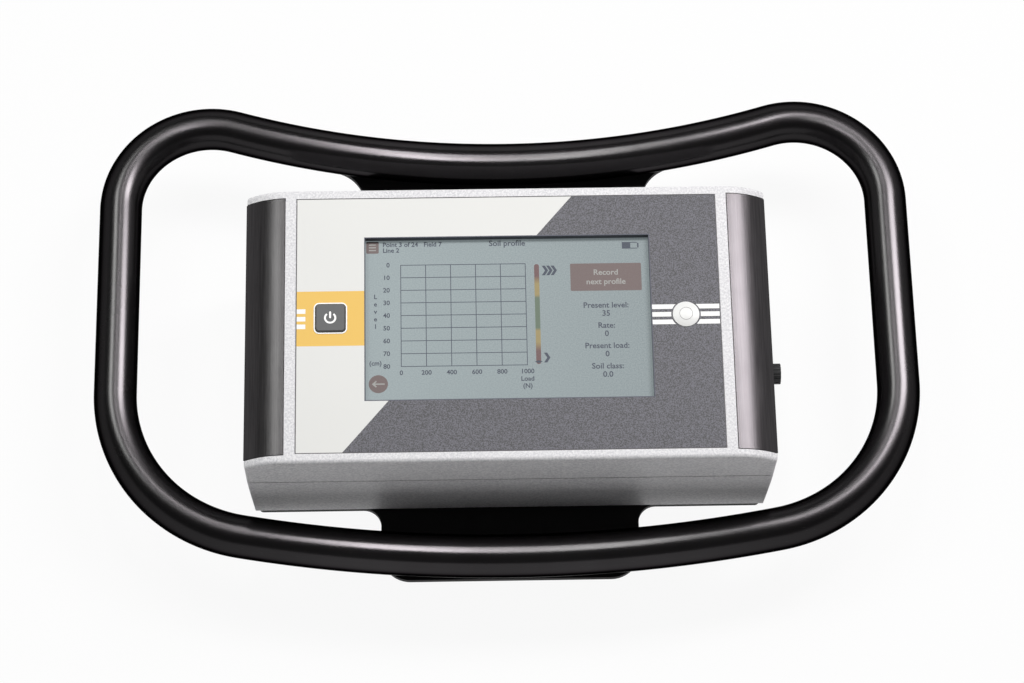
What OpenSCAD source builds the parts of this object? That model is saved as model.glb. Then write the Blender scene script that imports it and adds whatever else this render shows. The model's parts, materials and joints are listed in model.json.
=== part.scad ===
// Soil penetrometer: handle and data logger unit, seen with its screen up.
// Origin: on the rod axis, in the flat underside; +Z up, -Y towards the user.

/* [Handle] */
// Outside diameter of the bent tube
tube_od = 26.9; // [24:0.1:30]
// Wall of the bent tube
tube_wall = 2; // [1.5:0.1:3]
// Distance between the centre lines of the two side grips
grip_span = 491.5; // [470:0.5:540]
// Clear gap between the case and the near bar, at the middle
near_gap = 22.1; // [16:0.1:32]
// Clear gap between the case and the far bar, at the middle
far_gap = 37.6; // [30:0.1:60]
// Bow radius of the far bar, hollow to the outside
far_bar_r = 599; // [520:1:800]
// Bow radius of the near bar, hollow to the inside
near_bar_r = 919; // [800:1:1400]
// Bend radius of the two far corners
far_corner_r = 56.7; // [48:0.1:66]
// Bend radius of the two near corners
near_corner_r = 97.1; // [85:0.1:110]
// Distance of the handle screws from the middle
handle_screw_x = 46; // [42:1:60]
// Thread of the handle screws
handle_screw_d = 6; // [4:0.5:7]

/* [Carrier plate] */
// Thickness of the plate
plate_t = 4; // [3:0.5:6]
// How far the plate stops short of each end of the case
plate_end_inset = 4; // [1:0.5:8]
// How far the plate stops short of the case's long sides
plate_side_inset = 1; // [0.5:0.5:3]
// Width of the tongue to the near bar
near_tongue_w = 160; // [130:1:180]
// Width of the tongue to the far bar
far_tongue_w = 180; // [130:1:200]
// Round where a tongue leaves the plate
tongue_fillet_r = 11; // [4:0.5:13]
// Round of the flare under the far bar
flare_r = 24; // [12:1:28]
// Corner round at the near end
tongue_corner_r = 18; // [8:1:22]
// How far the tongues run past the bars' centre lines
tongue_reach = 10.4; // [9:0.2:14]
// Depth of the flared band under the far bar
flare_band = 6.4; // [4:0.2:9]
// Corner round of the wide part of the plate
plate_corner_r = 3; // [1:0.5:6]

/* [Case] */
// Width of the case
case_w = 320; // [310:1:340]
// Depth of the case, front to back
case_d = 179; // [174:0.5:186]
// Height of the base
base_h = 54; // [50:0.5:64]
// Height of the lid
lid_h = 33; // [30:0.5:36]
// Thickness of the gasket in the seam
seam_t = 1; // [0.6:0.1:2]
// Wall of the casting
case_wall = 3; // [2.5:0.1:4]
// Upright corner round of the case
case_corner_r = 3; // [1.5:0.1:5]
// Round of the lid's long edges
lid_edge_r = 2.5; // [1:0.1:4]
// Round of the base's lower edges
base_edge_r = 3; // [1:0.1:4]
// How far each end of the base draws in, from the seam down
base_draft = 2.2; // [0.5:0.1:3]
// Radius to which each end of the lid rolls down
roll_r = 40; // [37:0.5:60]
// Length of the lid over which the end rolls down
roll_run = 26; // [25:0.5:30]
// Distance of the lid screws from the case's ends
lid_screw_end = 12; // [9:0.5:14]
// Distance of the lid screws from the case's long sides
lid_screw_side = 15; // [12:0.5:18]
// Thread of the lid screws
lid_screw_d = 4; // [3:0.5:5]
// Distance of the case screws from the case's ends
case_screw_end = 40; // [34:1:44]
// Distance of the case screws from the case's long sides
case_screw_side = 17.5; // [14:0.5:19]
// Thread of the case screws
case_screw_d = 5; // [4:0.5:6]

/* [End trims] */
// Width of a trim strip, in plan
trim_w = 23.8; // [18:0.1:24.5]
// Thickness of a trim strip
trim_t = 2.4; // [1.5:0.1:3]
// Rim of lid left beyond the ends of a trim strip
trim_rim = 5.8; // [4:0.1:9]
// Gap all round a trim strip
trim_gap = 0.5; // [0.2:0.05:0.8]
// How far a trim strip stands past the end of the case
trim_proud = 0.4; // [0:0.1:0.8]

/* [Front face] */
// Bare strip of lid between a trim and the overlay
overlay_end_gap = 7.2; // [4:0.1:12]
// Bare strip of lid between a long side and the overlay
overlay_side_gap = 6.25; // [4:0.05:9]
// Thickness of the front overlay
overlay_t = 0.5; // [0.3:0.05:0.8]
// Width of the overlay on each side of the screen window
window_side_margin = 42.1; // [38:0.1:50]
// Depth of the overlay in front of the screen window
window_front_margin = 33.55; // [26:0.05:44]
// Depth of the overlay behind the screen window
window_back_margin = 26.75; // [24:0.05:40]
// Thickness of the lid round the screen window
window_lip = 2; // [1.4:0.1:2.4]
// Thickness of the gasket between the lid and the screen glass
screen_gasket_t = 2.4; // [1.6:0.1:3.2]
// Thickness of that gasket's upstand in the window
screen_gasket_wall = 0.8; // [0.5:0.1:1.5]
// Thickness of the screen glass
glass_t = 1.8; // [1:0.1:3]
// Border of glass hidden round the window
glass_border = 8; // [5:0.5:9]
// Thickness of the display module
lcd_t = 6; // [4:0.5:9]
// Thickness of the bracket behind the display
bracket_t = 1.5; // [1:0.1:2.5]
// Gap between the screen glass and the power button's frame, under the face
button_gap = 0.95; // [0.5:0.05:4]
// How far the power button lies behind the middle of the face
button_y = 3.7; // [0:0.1:8]
// Width of the button cap
button_w = 18.4; // [14:0.1:20]
// Corner round of the button cap
button_corner_r = 2.5; // [1.5:0.1:4]
// How far the button cap stands above the face
button_rise = 1.4; // [1:0.1:3]
// Travel of the button
button_travel = 0.8; // [0.4:0.1:1.2]
// Width of the bright frame round the button
bezel_rim = 0.75; // [0.5:0.05:1.5]
// Gap between the screen glass and the spirit level, under the face
level_gap = 2.9; // [0.5:0.1:6]
// How far the spirit level lies behind the middle of the face
level_y = 3.3; // [0:0.1:8]
// Diameter of the spirit level
level_d = 16.2; // [12:0.1:19]

/* [Port] */
// How far the port lies behind the middle of the case
port_y = -13.2; // [-30:0.2:20]
// Depth of the port's axis below the seam
port_drop = 26; // [18:0.5:30]
// Thread of the port socket
port_thread_d = 10; // [8:0.5:12]
// Diameter of the port's cap
port_cap_d = 13; // [12.4:0.1:16]
// Length of the port's cap
port_cap_len = 6.9; // [6:0.1:9]

/* [Underside] */
// Width of the sensor housing
housing_w = 150; // [140:1:170]
// Depth of the sensor housing, front to back
housing_d = 112; // [106:1:130]
// Height of the sensor housing
housing_h = 41; // [39:0.5:50]
// How far the sensor housing sits towards the user from the rod axis
housing_offset = 12; // [8:0.5:14]
// Wall of the sensor housing
housing_wall = 3; // [2.5:0.1:4]
// Upright corner round of the sensor housing
housing_corner_r = 14; // [12:0.5:18]
// Bevel round the underside of the sensor housing
housing_bevel = 2.5; // [1:0.1:3]
// Thickness of the housing gasket
housing_seam_t = 1; // [0.6:0.1:2]
// Diameter of the load cell
cell_d = 46; // [44:0.5:52]
// Thickness of the load cell
cell_t = 18; // [14:0.5:20]
// Outside diameter of the rod socket
socket_d = 20; // [17:0.5:20]
// Thread for the rod
rod_thread_d = 8; // [6:0.5:10]
// Depth of that thread
rod_thread_len = 18; // [12:0.5:18]
// Diameter of the distance sensor
sensor_d = 22; // [18:0.5:24]
// Gap between the distance sensor's grommet and the housing's near wall
sensor_gap = 6.5; // [4:0.5:9]
// Length of the distance sensor
sensor_len = 18; // [12:0.5:22]

/* [Inside] */
// Width of the battery pack
battery_w = 110; // [90:1:115]
// Depth of the battery pack, front to back
battery_d = 75; // [60:1:80]
// Thickness of the battery pack
battery_t = 24; // [18:0.5:28]
// Gap between the battery pack and the left end wall
battery_end_gap = 22; // [16:1:28]
// Gap between the battery pack and the main board
battery_board_gap = 13; // [8:1:20]
// Gap between the main board and the right end wall
board_end_gap = 29; // [24:1:36]
// Gap between the main board and a long wall
board_side_gap = 26.5; // [24:0.5:34]
// Thickness of the circuit boards
board_t = 1.6; // [1:0.1:2.4]
// Height of the board spacers
spacer_h = 8; // [5:0.5:12]

/* [Hidden] */

// Facets to a turn: profiles, and long shallow arcs
profile_sides = 64;
arc_sides = 720;
$fn = profile_sides;

// Clearances and small common sizes
over = 1;
fit = 0.05;
loose = 0.2;
sink = 0.5;
hex_sides = 6;
coin_sides = 32;

// Screws: sizes of the head as shares of the thread, and how far a tip stops short
head_r_ratio = 0.9;
head_h_ratio = 0.6;
hex_r_ratio = 0.45;
hex_depth_ratio = 0.6;
tip_gap = 0.5;
thread_grip = 4;
blind_floor = 1;

// Heights, from the underside up
plate_z = housing_h + housing_seam_t;
plate_top = plate_z + plate_t;
case_h = base_h + seam_t + lid_h;
face_z = plate_top + case_h;
seam_z = -lid_h;
base_top = seam_z - seam_t;
floor_z = -case_h + case_wall;
case_inner_w = case_w - 2 * case_wall;
case_inner_d = case_d - 2 * case_wall;
base_low_w = case_w - 2 * base_draft;
base_inner_low_w = base_low_w - 2 * case_wall;

// A length to the nearest micron
function micron(v) = round(v * 1000) / 1000;

// The loop: its outer box is centred on the rod axis
weld_gap = 0.02;
tube_r = tube_od / 2;
bore_r = tube_r - tube_wall;
half_span = grip_span / 2;
bar_span = case_d + near_gap + far_gap + tube_od;
tube_z = plate_top + tube_r + fit;
far_corner_x = half_span - far_corner_r;
near_corner_x = half_span - near_corner_r;
far_corner_rise = far_bar_r - sqrt(pow(far_bar_r + far_corner_r, 2) - pow(far_corner_x, 2));
near_corner_rise = near_bar_r - sqrt(pow(near_bar_r - near_corner_r, 2) - pow(near_corner_x, 2));
near_mid_y = -(bar_span + far_corner_rise + far_corner_r) / 2;
far_mid_y = near_mid_y + bar_span;
far_arc_y = far_mid_y + far_bar_r;
near_arc_y = near_mid_y + near_bar_r;
far_corner_y = micron(far_mid_y + far_corner_rise);
near_corner_y = micron(near_mid_y + near_corner_rise);
far_angle = atan2(far_corner_y - far_arc_y, far_corner_x);
near_angle = atan2(near_corner_y - near_arc_y, near_corner_x);
insert_wall = 1.5;
insert_r = handle_screw_d / 2 + insert_wall;
insert_h = 9;
handle_screw_tip = 2;
handle_screw_len = plate_t + insert_h + handle_screw_tip;
far_screw_y = far_arc_y - sqrt(pow(far_bar_r, 2) - pow(handle_screw_x, 2));
near_screw_y = near_arc_y - sqrt(pow(near_bar_r, 2) - pow(handle_screw_x, 2));

// The case, held clear of the near bar
case_y = micron(near_mid_y + tube_r + near_gap + case_d / 2);

// The carrier plate
plate_w = case_w - 2 * plate_end_inset;
plate_d = case_d - 2 * plate_side_inset;
plate_front_y = case_y - plate_d / 2;
plate_back_y = case_y + plate_d / 2;
near_end_y = near_mid_y - tongue_reach;
far_end_y = far_mid_y + tongue_reach;
flare_y = far_end_y - flare_band;
flare_w = far_tongue_w + 2 * flare_r;

// The lid's rolled ends and the trims that lie in them
roll_x = case_w / 2 - roll_run;
trim_len = case_d - 2 * trim_rim;
trim_low_angle = acos((roll_run + trim_proud) / roll_r);
trim_high_angle = acos((roll_run - trim_w) / roll_r);
trim_gap_angle = trim_gap / roll_r * 180 / PI;
trim_floor_r = roll_r - trim_t - fit;
roll_cavity_r = trim_floor_r - case_wall;
lid_screw_x = case_w / 2 - lid_screw_end;
lid_screw_y = case_d / 2 - lid_screw_side;
lid_seat_z = -10;
lid_thread_len = 16;
lid_screw_len = lid_h + seam_t + lid_seat_z + lid_thread_len;
column_wall = 4;
column_r = lid_screw_d / 2 + column_wall;
pocket_gap = 1;
gasket_inset = 1.2;
case_screw_x = case_w / 2 - case_screw_end;
case_screw_y = case_d / 2 - case_screw_side;
case_boss_h = 10;
case_boss_wall = 3;
case_boss_cap = 2;
case_bore_len = case_wall + case_boss_h - case_boss_cap;
case_screw_len = plate_t + case_bore_len - blind_floor;

// The front stack, downwards from the face
overlay_drop = 0.1;
overlay_recess = overlay_t + overlay_drop;
overlay_clear = 0.25;
overlay_w = case_w - 2 * (trim_w + overlay_end_gap);
overlay_d = case_d - 2 * overlay_side_gap;
window_w = overlay_w - 2 * window_side_margin;
window_d = overlay_d - window_front_margin - window_back_margin;
window_y = (window_front_margin - window_back_margin) / 2;
glass_w = window_w + 2 * glass_border;
glass_d = window_d + 2 * glass_border;
upstand_w = window_w + 2 * screen_gasket_wall;
upstand_d = window_d + 2 * screen_gasket_wall;
glass_z = -window_lip - screen_gasket_t;
lcd_z = glass_z - glass_t;
bracket_z = lcd_z - lcd_t;
lcd_inset = 3;
lcd_w = glass_w - 2 * lcd_inset;
lcd_d = glass_d - 2 * lcd_inset;
post_r = 3.5;
post_gap = 3;
post_bore = thread_grip + blind_floor;
display_screw_d = 3;
display_post_inset = 15;
display_post_x = glass_w / 2 - display_post_inset;
display_post_y = glass_d / 2 + post_r + post_gap;
bracket_ear = 5.5;
bracket_ledge = 18;
bracket_corner_r = 5;
bracket_w = 2 * (display_post_x + bracket_ear);
bracket_d = 2 * (display_post_y + bracket_ear);

// The power button, downwards from the face
bezel_w = button_w + 2 * (loose + bezel_rim);
bezel_corner_r = button_corner_r + loose + bezel_rim;
bezel_flange = 1.8;
bezel_flange_w = bezel_w + 2 * bezel_flange;
button_x = glass_w / 2 + loose + bezel_flange_w / 2 + button_gap;
bezel_flange_t = 1.2;
bezel_top = 0.2;
bezel_low = -case_wall - bezel_flange_t;
cap_bevel = 0.8;
cap_gap = 0.1;
cap_flange_t = 1;
cap_flange_z = bezel_low - cap_gap - cap_flange_t;
stem_r = 3;
stem_len = 2.4;
stem_z = cap_flange_z - stem_len;
switch_well_r = 4.2;
switch_w = 12;
dome_t = 0.6;
dome_spare = 2.6;
dome_h = button_travel + dome_spare;
dome_z = stem_z - dome_h;
well_lip = 0.4;
switch_floor = 0.8;
switch_h = switch_floor + dome_h + well_lip;
switch_board_z = dome_z - switch_floor;
switch_post_y = 16;
switch_board_w = 20;
switch_board_ear = 5;
switch_board_d = 2 * (switch_post_y + switch_board_ear);
switch_board_corner_r = 2;
switch_screw_d = 2.5;

// The spirit level, downwards from the face
level_r = level_d / 2;
level_wall = 1.1;
level_rim_z = 0.3;
level_flange = 1.9;
level_flange_t = 1.5;
level_x = glass_w / 2 + loose + level_r + level_flange + level_gap;
level_low = -9;
level_floor = 1.5;
level_plug = 1.5;
level_dome_h = 1.3;
level_dome_r = (pow(level_r, 2) + pow(level_dome_h, 2)) / (2 * level_dome_h);

// The port, outwards from the case's end wall
port_z = base_top - port_drop;
port_r = port_thread_d / 2;
port_seal_t = 0.8;
port_flange_t = 2.2;
port_flange = 1.9;
port_flange_r = port_r + port_flange;
port_flange_top = port_seal_t + port_flange_t;
port_collar_step = 0.4;
port_collar_r = port_r - port_collar_step;
port_collar_len = 4.5;
port_collar_wall = 1.2;
port_cavity_floor = 0.7;
port_tail = 4;
port_pin_r = 0.45;
port_pin_circle_r = 1.7;
port_nut_t = 3;
port_nut_wall = 3;
port_pad_rim = 1;
port_pad_r = port_flange_r + port_pad_rim;
port_spot_r = port_r + port_nut_wall + tip_gap;
port_spot_len = 2 * base_draft;
port_cap_gap = 0.1;
port_cap_start = port_flange_top + port_cap_gap;
port_cap_fit = 0.08;
port_cap_spare = 0.5;
port_groove_r = 0.6;
port_groove_start = 1.6;
port_groove_count = 14;

// The sensor housing under the plate
housing_floor = 4;
housing_y = -housing_offset;
housing_boss_r = 5.5;
housing_screw_d = 4;
housing_screw_x = housing_w / 2 - housing_wall - housing_boss_r;
housing_screw_y = housing_d / 2 - housing_wall - housing_boss_r;
housing_seat_z = 6;
housing_screw_len = plate_top - tip_gap - housing_seat_z;
housing_gasket_inset = 0.5;
housing_base_t = 0.01;
cell_z = plate_z - cell_t;
cell_bolt_d = 4;
cell_bolt_inset = 4.6;
cell_bolt_circle_r = cell_d / 2 - cell_bolt_inset;
cell_bolt_count = 6;
stud_r = 6;
stud_len = 13;
stud_gap = 1;
socket_mouth = 1;
seal_wall = 3;
seal_r = socket_d / 2 + seal_wall;
sensor_face = 1;
horn_rim = 2.5;
horn_depth = 1.5;
grommet_wall = 3;
grommet_r = sensor_d / 2 + grommet_wall;
grommet_flange = 2.5;
grommet_flange_t = 2;
sensor_y = housing_y - housing_d / 2 + housing_wall + sensor_gap + grommet_flange + grommet_r;
cable_x = 45;
cable_y = -30;
cable_hole_r = 7;
cable_bore_r = 4;
cable_flange = 2.5;
cable_flange_t = 2;

// Inside the base
spacer_r = 3;
board_screw_d = 3;
board_hole_inset = 5;
board_corner_r = 3;
board_w = case_inner_w - battery_end_gap - battery_w - battery_board_gap - board_end_gap;
board_d = case_inner_d - 2 * board_side_gap;
board_x = case_inner_w / 2 - board_end_gap - board_w / 2;
board_z = floor_z + spacer_h;
board_top = board_z + board_t;
processor_w = 52;
processor_d = 44;
processor_t = 2;
processor_edge = 24;
processor_y = 10;
chip_w = 20;
chip_t = 3.4;
connector_w = 24;
connector_d = 8;
connector_h = 9;
connector_wall = 1;
connector_floor = 2;
connector_pitch = 34;
connector_edge = 16;
connector_inset = 12;
connector_count = max(1, floor((board_w - 2 * connector_edge) / connector_pitch));
battery_corner_r = 4;
battery_x = case_inner_w / 2 - battery_end_gap - battery_w / 2;
clamp_t = 1.5;
clamp_w = 30;
clamp_foot = 14;
clamp_screw_d = 4;
clamp_boss_r = 4;
clamp_boss_h = 6;
clamp_screw_y = battery_d / 2 + clamp_t + loose + clamp_foot / 2;

// Tools of form

module rounded(w, d, r) {
    square([w - 2 * r, d], center = true);
    square([w, d - 2 * r], center = true);
    for (x = [-1, 1], y = [-1, 1])
        translate([x * (w / 2 - r), y * (d / 2 - r)])
            circle(r);
}

// A rectangle on the x axis whose two lower corners are round
module trough(w, h, r) {
    translate([-w / 2, r])
        square([w, h - r]);
    translate([-w / 2 + r, 0])
        square([w - 2 * r, h]);
    for (x = [-1, 1])
        translate([x * (w / 2 - r), r])
            circle(r);
}

// The web in an inside corner at the origin, open to +x and -y
module corner_web(r) {
    difference() {
        translate([0, -r])
            square(r);
        translate([r, -r])
            circle(r);
    }
}

module both_sides() {
    children();
    mirror([1, 0, 0])
        children();
}

module four_corners(x, y) {
    for (sx = [-1, 1], sy = [-1, 1])
        translate([sx * x, sy * y])
            children();
}

module ring(outer, inner, h) {
    difference() {
        cylinder(r = outer, h = h);
        translate([0, 0, -over])
            cylinder(r = inner, h = h + 2 * over);
    }
}

// A socket-head screw that points up, its head under z = 0
module screw(d, len) {
    head_h = d * head_h_ratio;
    cylinder(r = d / 2, h = len);
    difference() {
        translate([0, 0, -head_h])
            cylinder(r = d * head_r_ratio, h = head_h);
        translate([0, 0, -head_h - over])
            cylinder(r = d * hex_r_ratio, h = over + head_h * hex_depth_ratio, $fn = hex_sides);
    }
}

module at_case() {
    translate([0, case_y, face_z])
        children();
}

module at_window() {
    at_case()
        translate([0, window_y, 0])
            children();
}

module at_button() {
    at_case()
        translate([-button_x, button_y, 0])
            children();
}

module at_level() {
    at_case()
        translate([level_x, level_y, 0])
            children();
}

// The port's place in the case: z = 0 in the face of its pad, outwards up
module port_place() {
    translate([case_w / 2, port_y, port_z])
        rotate([0, 90, 0])
            children();
}

module at_port() {
    at_case()
        port_place()
            children();
}

// The handle loop

// A bent length of tube about a centre, from one angle to another
module bend(centre, path_r, from, to) {
    translate([centre.x, centre.y, tube_z])
        rotate(from)
            rotate_extrude(angle = to - from, $fn = arc_sides)
                translate([path_r, 0])
                    difference() {
                        circle(tube_r, $fn = profile_sides);
                        circle(bore_r, $fn = profile_sides);
                    }
}

module handle_screw_places() {
    for (x = [-1, 1], y = [far_screw_y, near_screw_y])
        translate([x * handle_screw_x, y, 0])
            children();
}

// A bowed bar from its left end angle to its right one, drilled for the inserts
module bar(arc_y, path_r, end_angle) {
    trimmed_angle = end_angle - weld_gap / path_r * 180 / PI;
    difference() {
        bend([0, arc_y], path_r, -180 - trimmed_angle, trimmed_angle);
        handle_screw_places()
            translate([0, 0, plate_top - over])
                cylinder(r = insert_r + fit, h = tube_r);
    }
}

// A side grip: far corner, straight and near corner in one bent length
module grip() {
    bend([far_corner_x, far_corner_y], far_corner_r, 0, far_angle + 180);
    translate([half_span, near_corner_y, tube_z])
        rotate([-90, 0, 0])
            ring(tube_r, bore_r, far_corner_y - near_corner_y);
    bend([near_corner_x, near_corner_y], near_corner_r, 0, near_angle);
}

module far_bar() {
    color("#1b1b1d")
        bar(far_arc_y, far_bar_r, far_angle);
}

module near_bar() {
    color("#1b1b1d")
        bar(near_arc_y, near_bar_r, near_angle);
}

module right_grip() {
    color("#1b1b1d")
        grip();
}

module left_grip() {
    color("#1b1b1d")
        mirror([1, 0, 0])
            grip();
}

module handle_inserts() {
    color("#9a9c9f")
        handle_screw_places()
            translate([0, 0, plate_top])
                ring(insert_r, handle_screw_d / 2 + fit, insert_h);
}

module handle_screws() {
    color("#2a2a2c")
        handle_screw_places()
            translate([0, 0, plate_z])
                screw(handle_screw_d, handle_screw_len);
}

// The carrier plate

module plate_outline() {
    translate([0, case_y])
        rounded(plate_w, plate_d, plate_corner_r);
    translate([0, (near_end_y + case_y) / 2])
        rounded(near_tongue_w, case_y - near_end_y, tongue_corner_r);
    translate([-far_tongue_w / 2, case_y])
        square([far_tongue_w, flare_y - case_y]);
    translate([-flare_w / 2, flare_y])
        square([flare_w, flare_band]);
    both_sides() {
        translate([near_tongue_w / 2, plate_front_y])
            corner_web(tongue_fillet_r);
        translate([far_tongue_w / 2, flare_y])
            corner_web(flare_r);
        translate([far_tongue_w / 2, plate_back_y])
            mirror([0, 1])
                corner_web(tongue_fillet_r);
    }
}

module housing_screw_places() {
    translate([0, housing_y, 0])
        four_corners(housing_screw_x, housing_screw_y)
            children();
}

module case_screw_places() {
    translate([0, case_y, 0])
        four_corners(case_screw_x, case_screw_y)
            children();
}

module cell_bolt_places() {
    for (i = [0 : cell_bolt_count - 1])
        rotate(i * 360 / cell_bolt_count)
            translate([cell_bolt_circle_r, 0, 0])
                children();
}

module carrier_plate() {
    color("#1d1d1f")
        difference() {
            translate([0, 0, plate_z])
                linear_extrude(plate_t)
                    plate_outline();
            translate([0, 0, plate_z - over]) {
                handle_screw_places()
                    cylinder(r = handle_screw_d / 2 + loose, h = plate_t + 2 * over);
                case_screw_places()
                    cylinder(r = case_screw_d / 2 + loose, h = plate_t + 2 * over);
                housing_screw_places()
                    cylinder(r = housing_screw_d / 2 + fit, h = plate_t + 2 * over);
                cell_bolt_places()
                    cylinder(r = cell_bolt_d / 2 + fit, h = plate_t + 2 * over);
                translate([cable_x, cable_y, 0])
                    cylinder(r = cable_hole_r, h = plate_t + 2 * over);
            }
        }
}

// The case

// The base from the front: round lower corners, and ends that lean out up to the seam
module base_profile() {
    trough(base_low_w, base_h + over, base_edge_r);
    polygon([
        [-base_low_w / 2, base_edge_r], [base_low_w / 2, base_edge_r],
        [case_w / 2, base_h + over], [-case_w / 2, base_h + over]
    ]);
}

module base_form() {
    intersection() {
        translate([0, 0, -case_h])
            linear_extrude(base_h)
                rounded(case_w, case_d, case_corner_r);
        translate([0, case_d / 2 + over, -case_h])
            rotate([90, 0, 0])
                linear_extrude(case_d + 2 * over)
                    base_profile();
        translate([-case_w / 2 - over, 0, -case_h])
            rotate([90, 0, 90])
                linear_extrude(case_w + 2 * over)
                    trough(case_d, base_h + over, base_edge_r);
    }
}

// The space in the base, whose ends lean as the outside does
module base_cavity() {
    translate([0, case_inner_d / 2, 0])
        rotate([90, 0, 0])
            linear_extrude(case_inner_d)
                polygon([
                    [-base_inner_low_w / 2, floor_z], [base_inner_low_w / 2, floor_z],
                    [case_inner_w / 2, base_top + over], [-case_inner_w / 2, base_top + over]
                ]);
}

module base_columns() {
    intersection() {
        translate([0, 0, floor_z - over]) {
            both_sides()
                for (y = [-1, 1])
                    translate([lid_screw_x, y * lid_screw_y, 0]) {
                        cylinder(r = column_r, h = base_top - floor_z + over);
                        translate([0, -column_r, 0])
                            cube([lid_screw_end, 2 * column_r, base_top - floor_z + over]);
                    }
            four_corners(case_screw_x, case_screw_y)
                cylinder(r = case_screw_d / 2 + case_boss_wall, h = case_boss_h + over);
            for (y = [-1, 1])
                translate([-battery_x, y * clamp_screw_y, 0])
                    cylinder(r = clamp_boss_r, h = clamp_boss_h + over);
        }
        base_form();
    }
}

module case_base() {
    color("#c9cbcd")
        at_case()
            difference() {
                union() {
                    difference() {
                        base_form();
                        base_cavity();
                    }
                    base_columns();
                    port_place()
                        translate([0, 0, -case_wall])
                            cylinder(r = port_pad_r, h = case_wall);
                }
                four_corners(lid_screw_x, lid_screw_y)
                    translate([0, 0, base_top - lid_thread_len - blind_floor])
                        cylinder(r = lid_screw_d / 2 + fit, h = lid_thread_len + blind_floor + over);
                four_corners(case_screw_x, case_screw_y)
                    translate([0, 0, -case_h - over])
                        cylinder(r = case_screw_d / 2 + fit, h = case_bore_len + over);
                for (y = [-1, 1])
                    translate([-battery_x, y * clamp_screw_y, floor_z + blind_floor])
                        cylinder(r = clamp_screw_d / 2 + fit, h = clamp_boss_h);
                translate([cable_x, cable_y - case_y, -case_h - over])
                    cylinder(r = cable_hole_r, h = case_wall + 2 * over);
                port_place() {
                    translate([0, 0, -case_wall - over])
                        cylinder(r = port_r + fit, h = case_wall + 2 * over);
                    translate([0, 0, -case_wall - port_spot_len])
                        cylinder(r = port_spot_r, h = port_spot_len);
                }
            }
}

module lid_gasket() {
    color("#202022")
        at_case()
            translate([0, 0, base_top])
                linear_extrude(seam_t)
                    difference() {
                        rounded(case_w - 2 * gasket_inset, case_d - 2 * gasket_inset, case_corner_r);
                        square([case_inner_w, case_inner_d], center = true);
                    }
}

// A drum across the lid, on the axis of its right rolled end
module roll(r, w) {
    translate([roll_x, 0, -roll_r])
        rotate([90, 0, 0])
            cylinder(r = r, h = w, center = true);
}

// The same drum with round rims
module rimmed_roll(r, w, rim_r) {
    translate([roll_x, 0, -roll_r])
        rotate([90, 0, 0])
            rotate_extrude() {
                translate([0, -w / 2])
                    square([r - rim_r, w]);
                translate([0, -w / 2 + rim_r])
                    square([r, w - 2 * rim_r]);
                for (y = [-1, 1])
                    translate([r - rim_r, y * (w / 2 - rim_r)])
                        circle(rim_r);
            }
}

// A curved strip on the right rolled end, between two radii and two angles from the horizontal
module roll_strip(inner, outer, from, to, len) {
    translate([roll_x, 0, -roll_r])
        rotate([90, 0, 0])
            rotate([0, 0, from])
                rotate_extrude(angle = to - from)
                    translate([inner, -len / 2])
                        square([outer - inner, len]);
}

module lid_form() {
    intersection() {
        translate([0, 0, seam_z])
            linear_extrude(lid_h + over)
                rounded(case_w, case_d, case_corner_r);
        union() {
            both_sides()
                rimmed_roll(roll_r, case_d, lid_edge_r);
            translate([-roll_x, 0, 0])
                rotate([90, 0, 90])
                    linear_extrude(2 * roll_x)
                        mirror([0, 1])
                            trough(case_d, lid_h + over, lid_edge_r);
        }
    }
}

module lid_cavity() {
    pocket_d = 2 * (lid_screw_y - column_r - pocket_gap);
    translate([0, 0, seam_z - over])
        linear_extrude(lid_h + over - case_wall)
            square([2 * roll_x, case_inner_d], center = true);
    both_sides()
        intersection() {
            roll(roll_cavity_r, pocket_d);
            translate([roll_x - over, -pocket_d / 2, seam_z - over])
                cube([roll_run - case_wall + over, pocket_d, lid_h]);
        }
}

module lid_posts() {
    translate([0, window_y, bracket_z])
        four_corners(display_post_x, display_post_y)
            cylinder(r = post_r, h = -bracket_z - case_wall + sink);
    for (y = [-1, 1])
        translate([-button_x, button_y + y * switch_post_y, switch_board_z])
            cylinder(r = post_r, h = -switch_board_z - case_wall + sink);
}

module lid_openings() {
    translate([0, 0, -overlay_recess])
        linear_extrude(overlay_recess + over)
            square([overlay_w + 2 * overlay_clear, overlay_d + 2 * overlay_clear], center = true);
    translate([0, window_y, -case_wall - over])
        linear_extrude(case_wall + over)
            square([upstand_w + 2 * fit, upstand_d + 2 * fit], center = true);
    translate([0, window_y, -case_wall - over])
        linear_extrude(case_wall + over - window_lip)
            square([glass_w + 2 * loose, glass_d + 2 * loose], center = true);
    translate([-button_x, button_y, -case_wall - over])
        linear_extrude(case_wall + over)
            rounded(bezel_w + 2 * fit, bezel_w + 2 * fit, bezel_corner_r);
    translate([level_x, level_y, -case_wall - over])
        cylinder(r = level_r + fit, h = case_wall + over);
}

module case_lid() {
    color("#dcdedf")
        at_case()
            difference() {
                union() {
                    difference() {
                        lid_form();
                        lid_cavity();
                        lid_openings();
                    }
                    lid_posts();
                }
                both_sides()
                    roll_strip(trim_floor_r, roll_r + 2 * over, 0,
                        trim_high_angle + trim_gap_angle, trim_len + 2 * trim_gap);
                four_corners(lid_screw_x, lid_screw_y) {
                    translate([0, 0, seam_z - over])
                        cylinder(r = lid_screw_d / 2 + loose, h = lid_h + over);
                    translate([0, 0, lid_seat_z])
                        cylinder(r = lid_screw_d * head_r_ratio + loose, h = lid_h);
                }
                translate([0, window_y, bracket_z - over])
                    four_corners(display_post_x, display_post_y)
                        cylinder(r = display_screw_d / 2 + fit, h = post_bore + over);
                for (y = [-1, 1])
                    translate([-button_x, button_y + y * switch_post_y, switch_board_z - over])
                        cylinder(r = switch_screw_d / 2 + fit, h = post_bore + over);
            }
}

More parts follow.
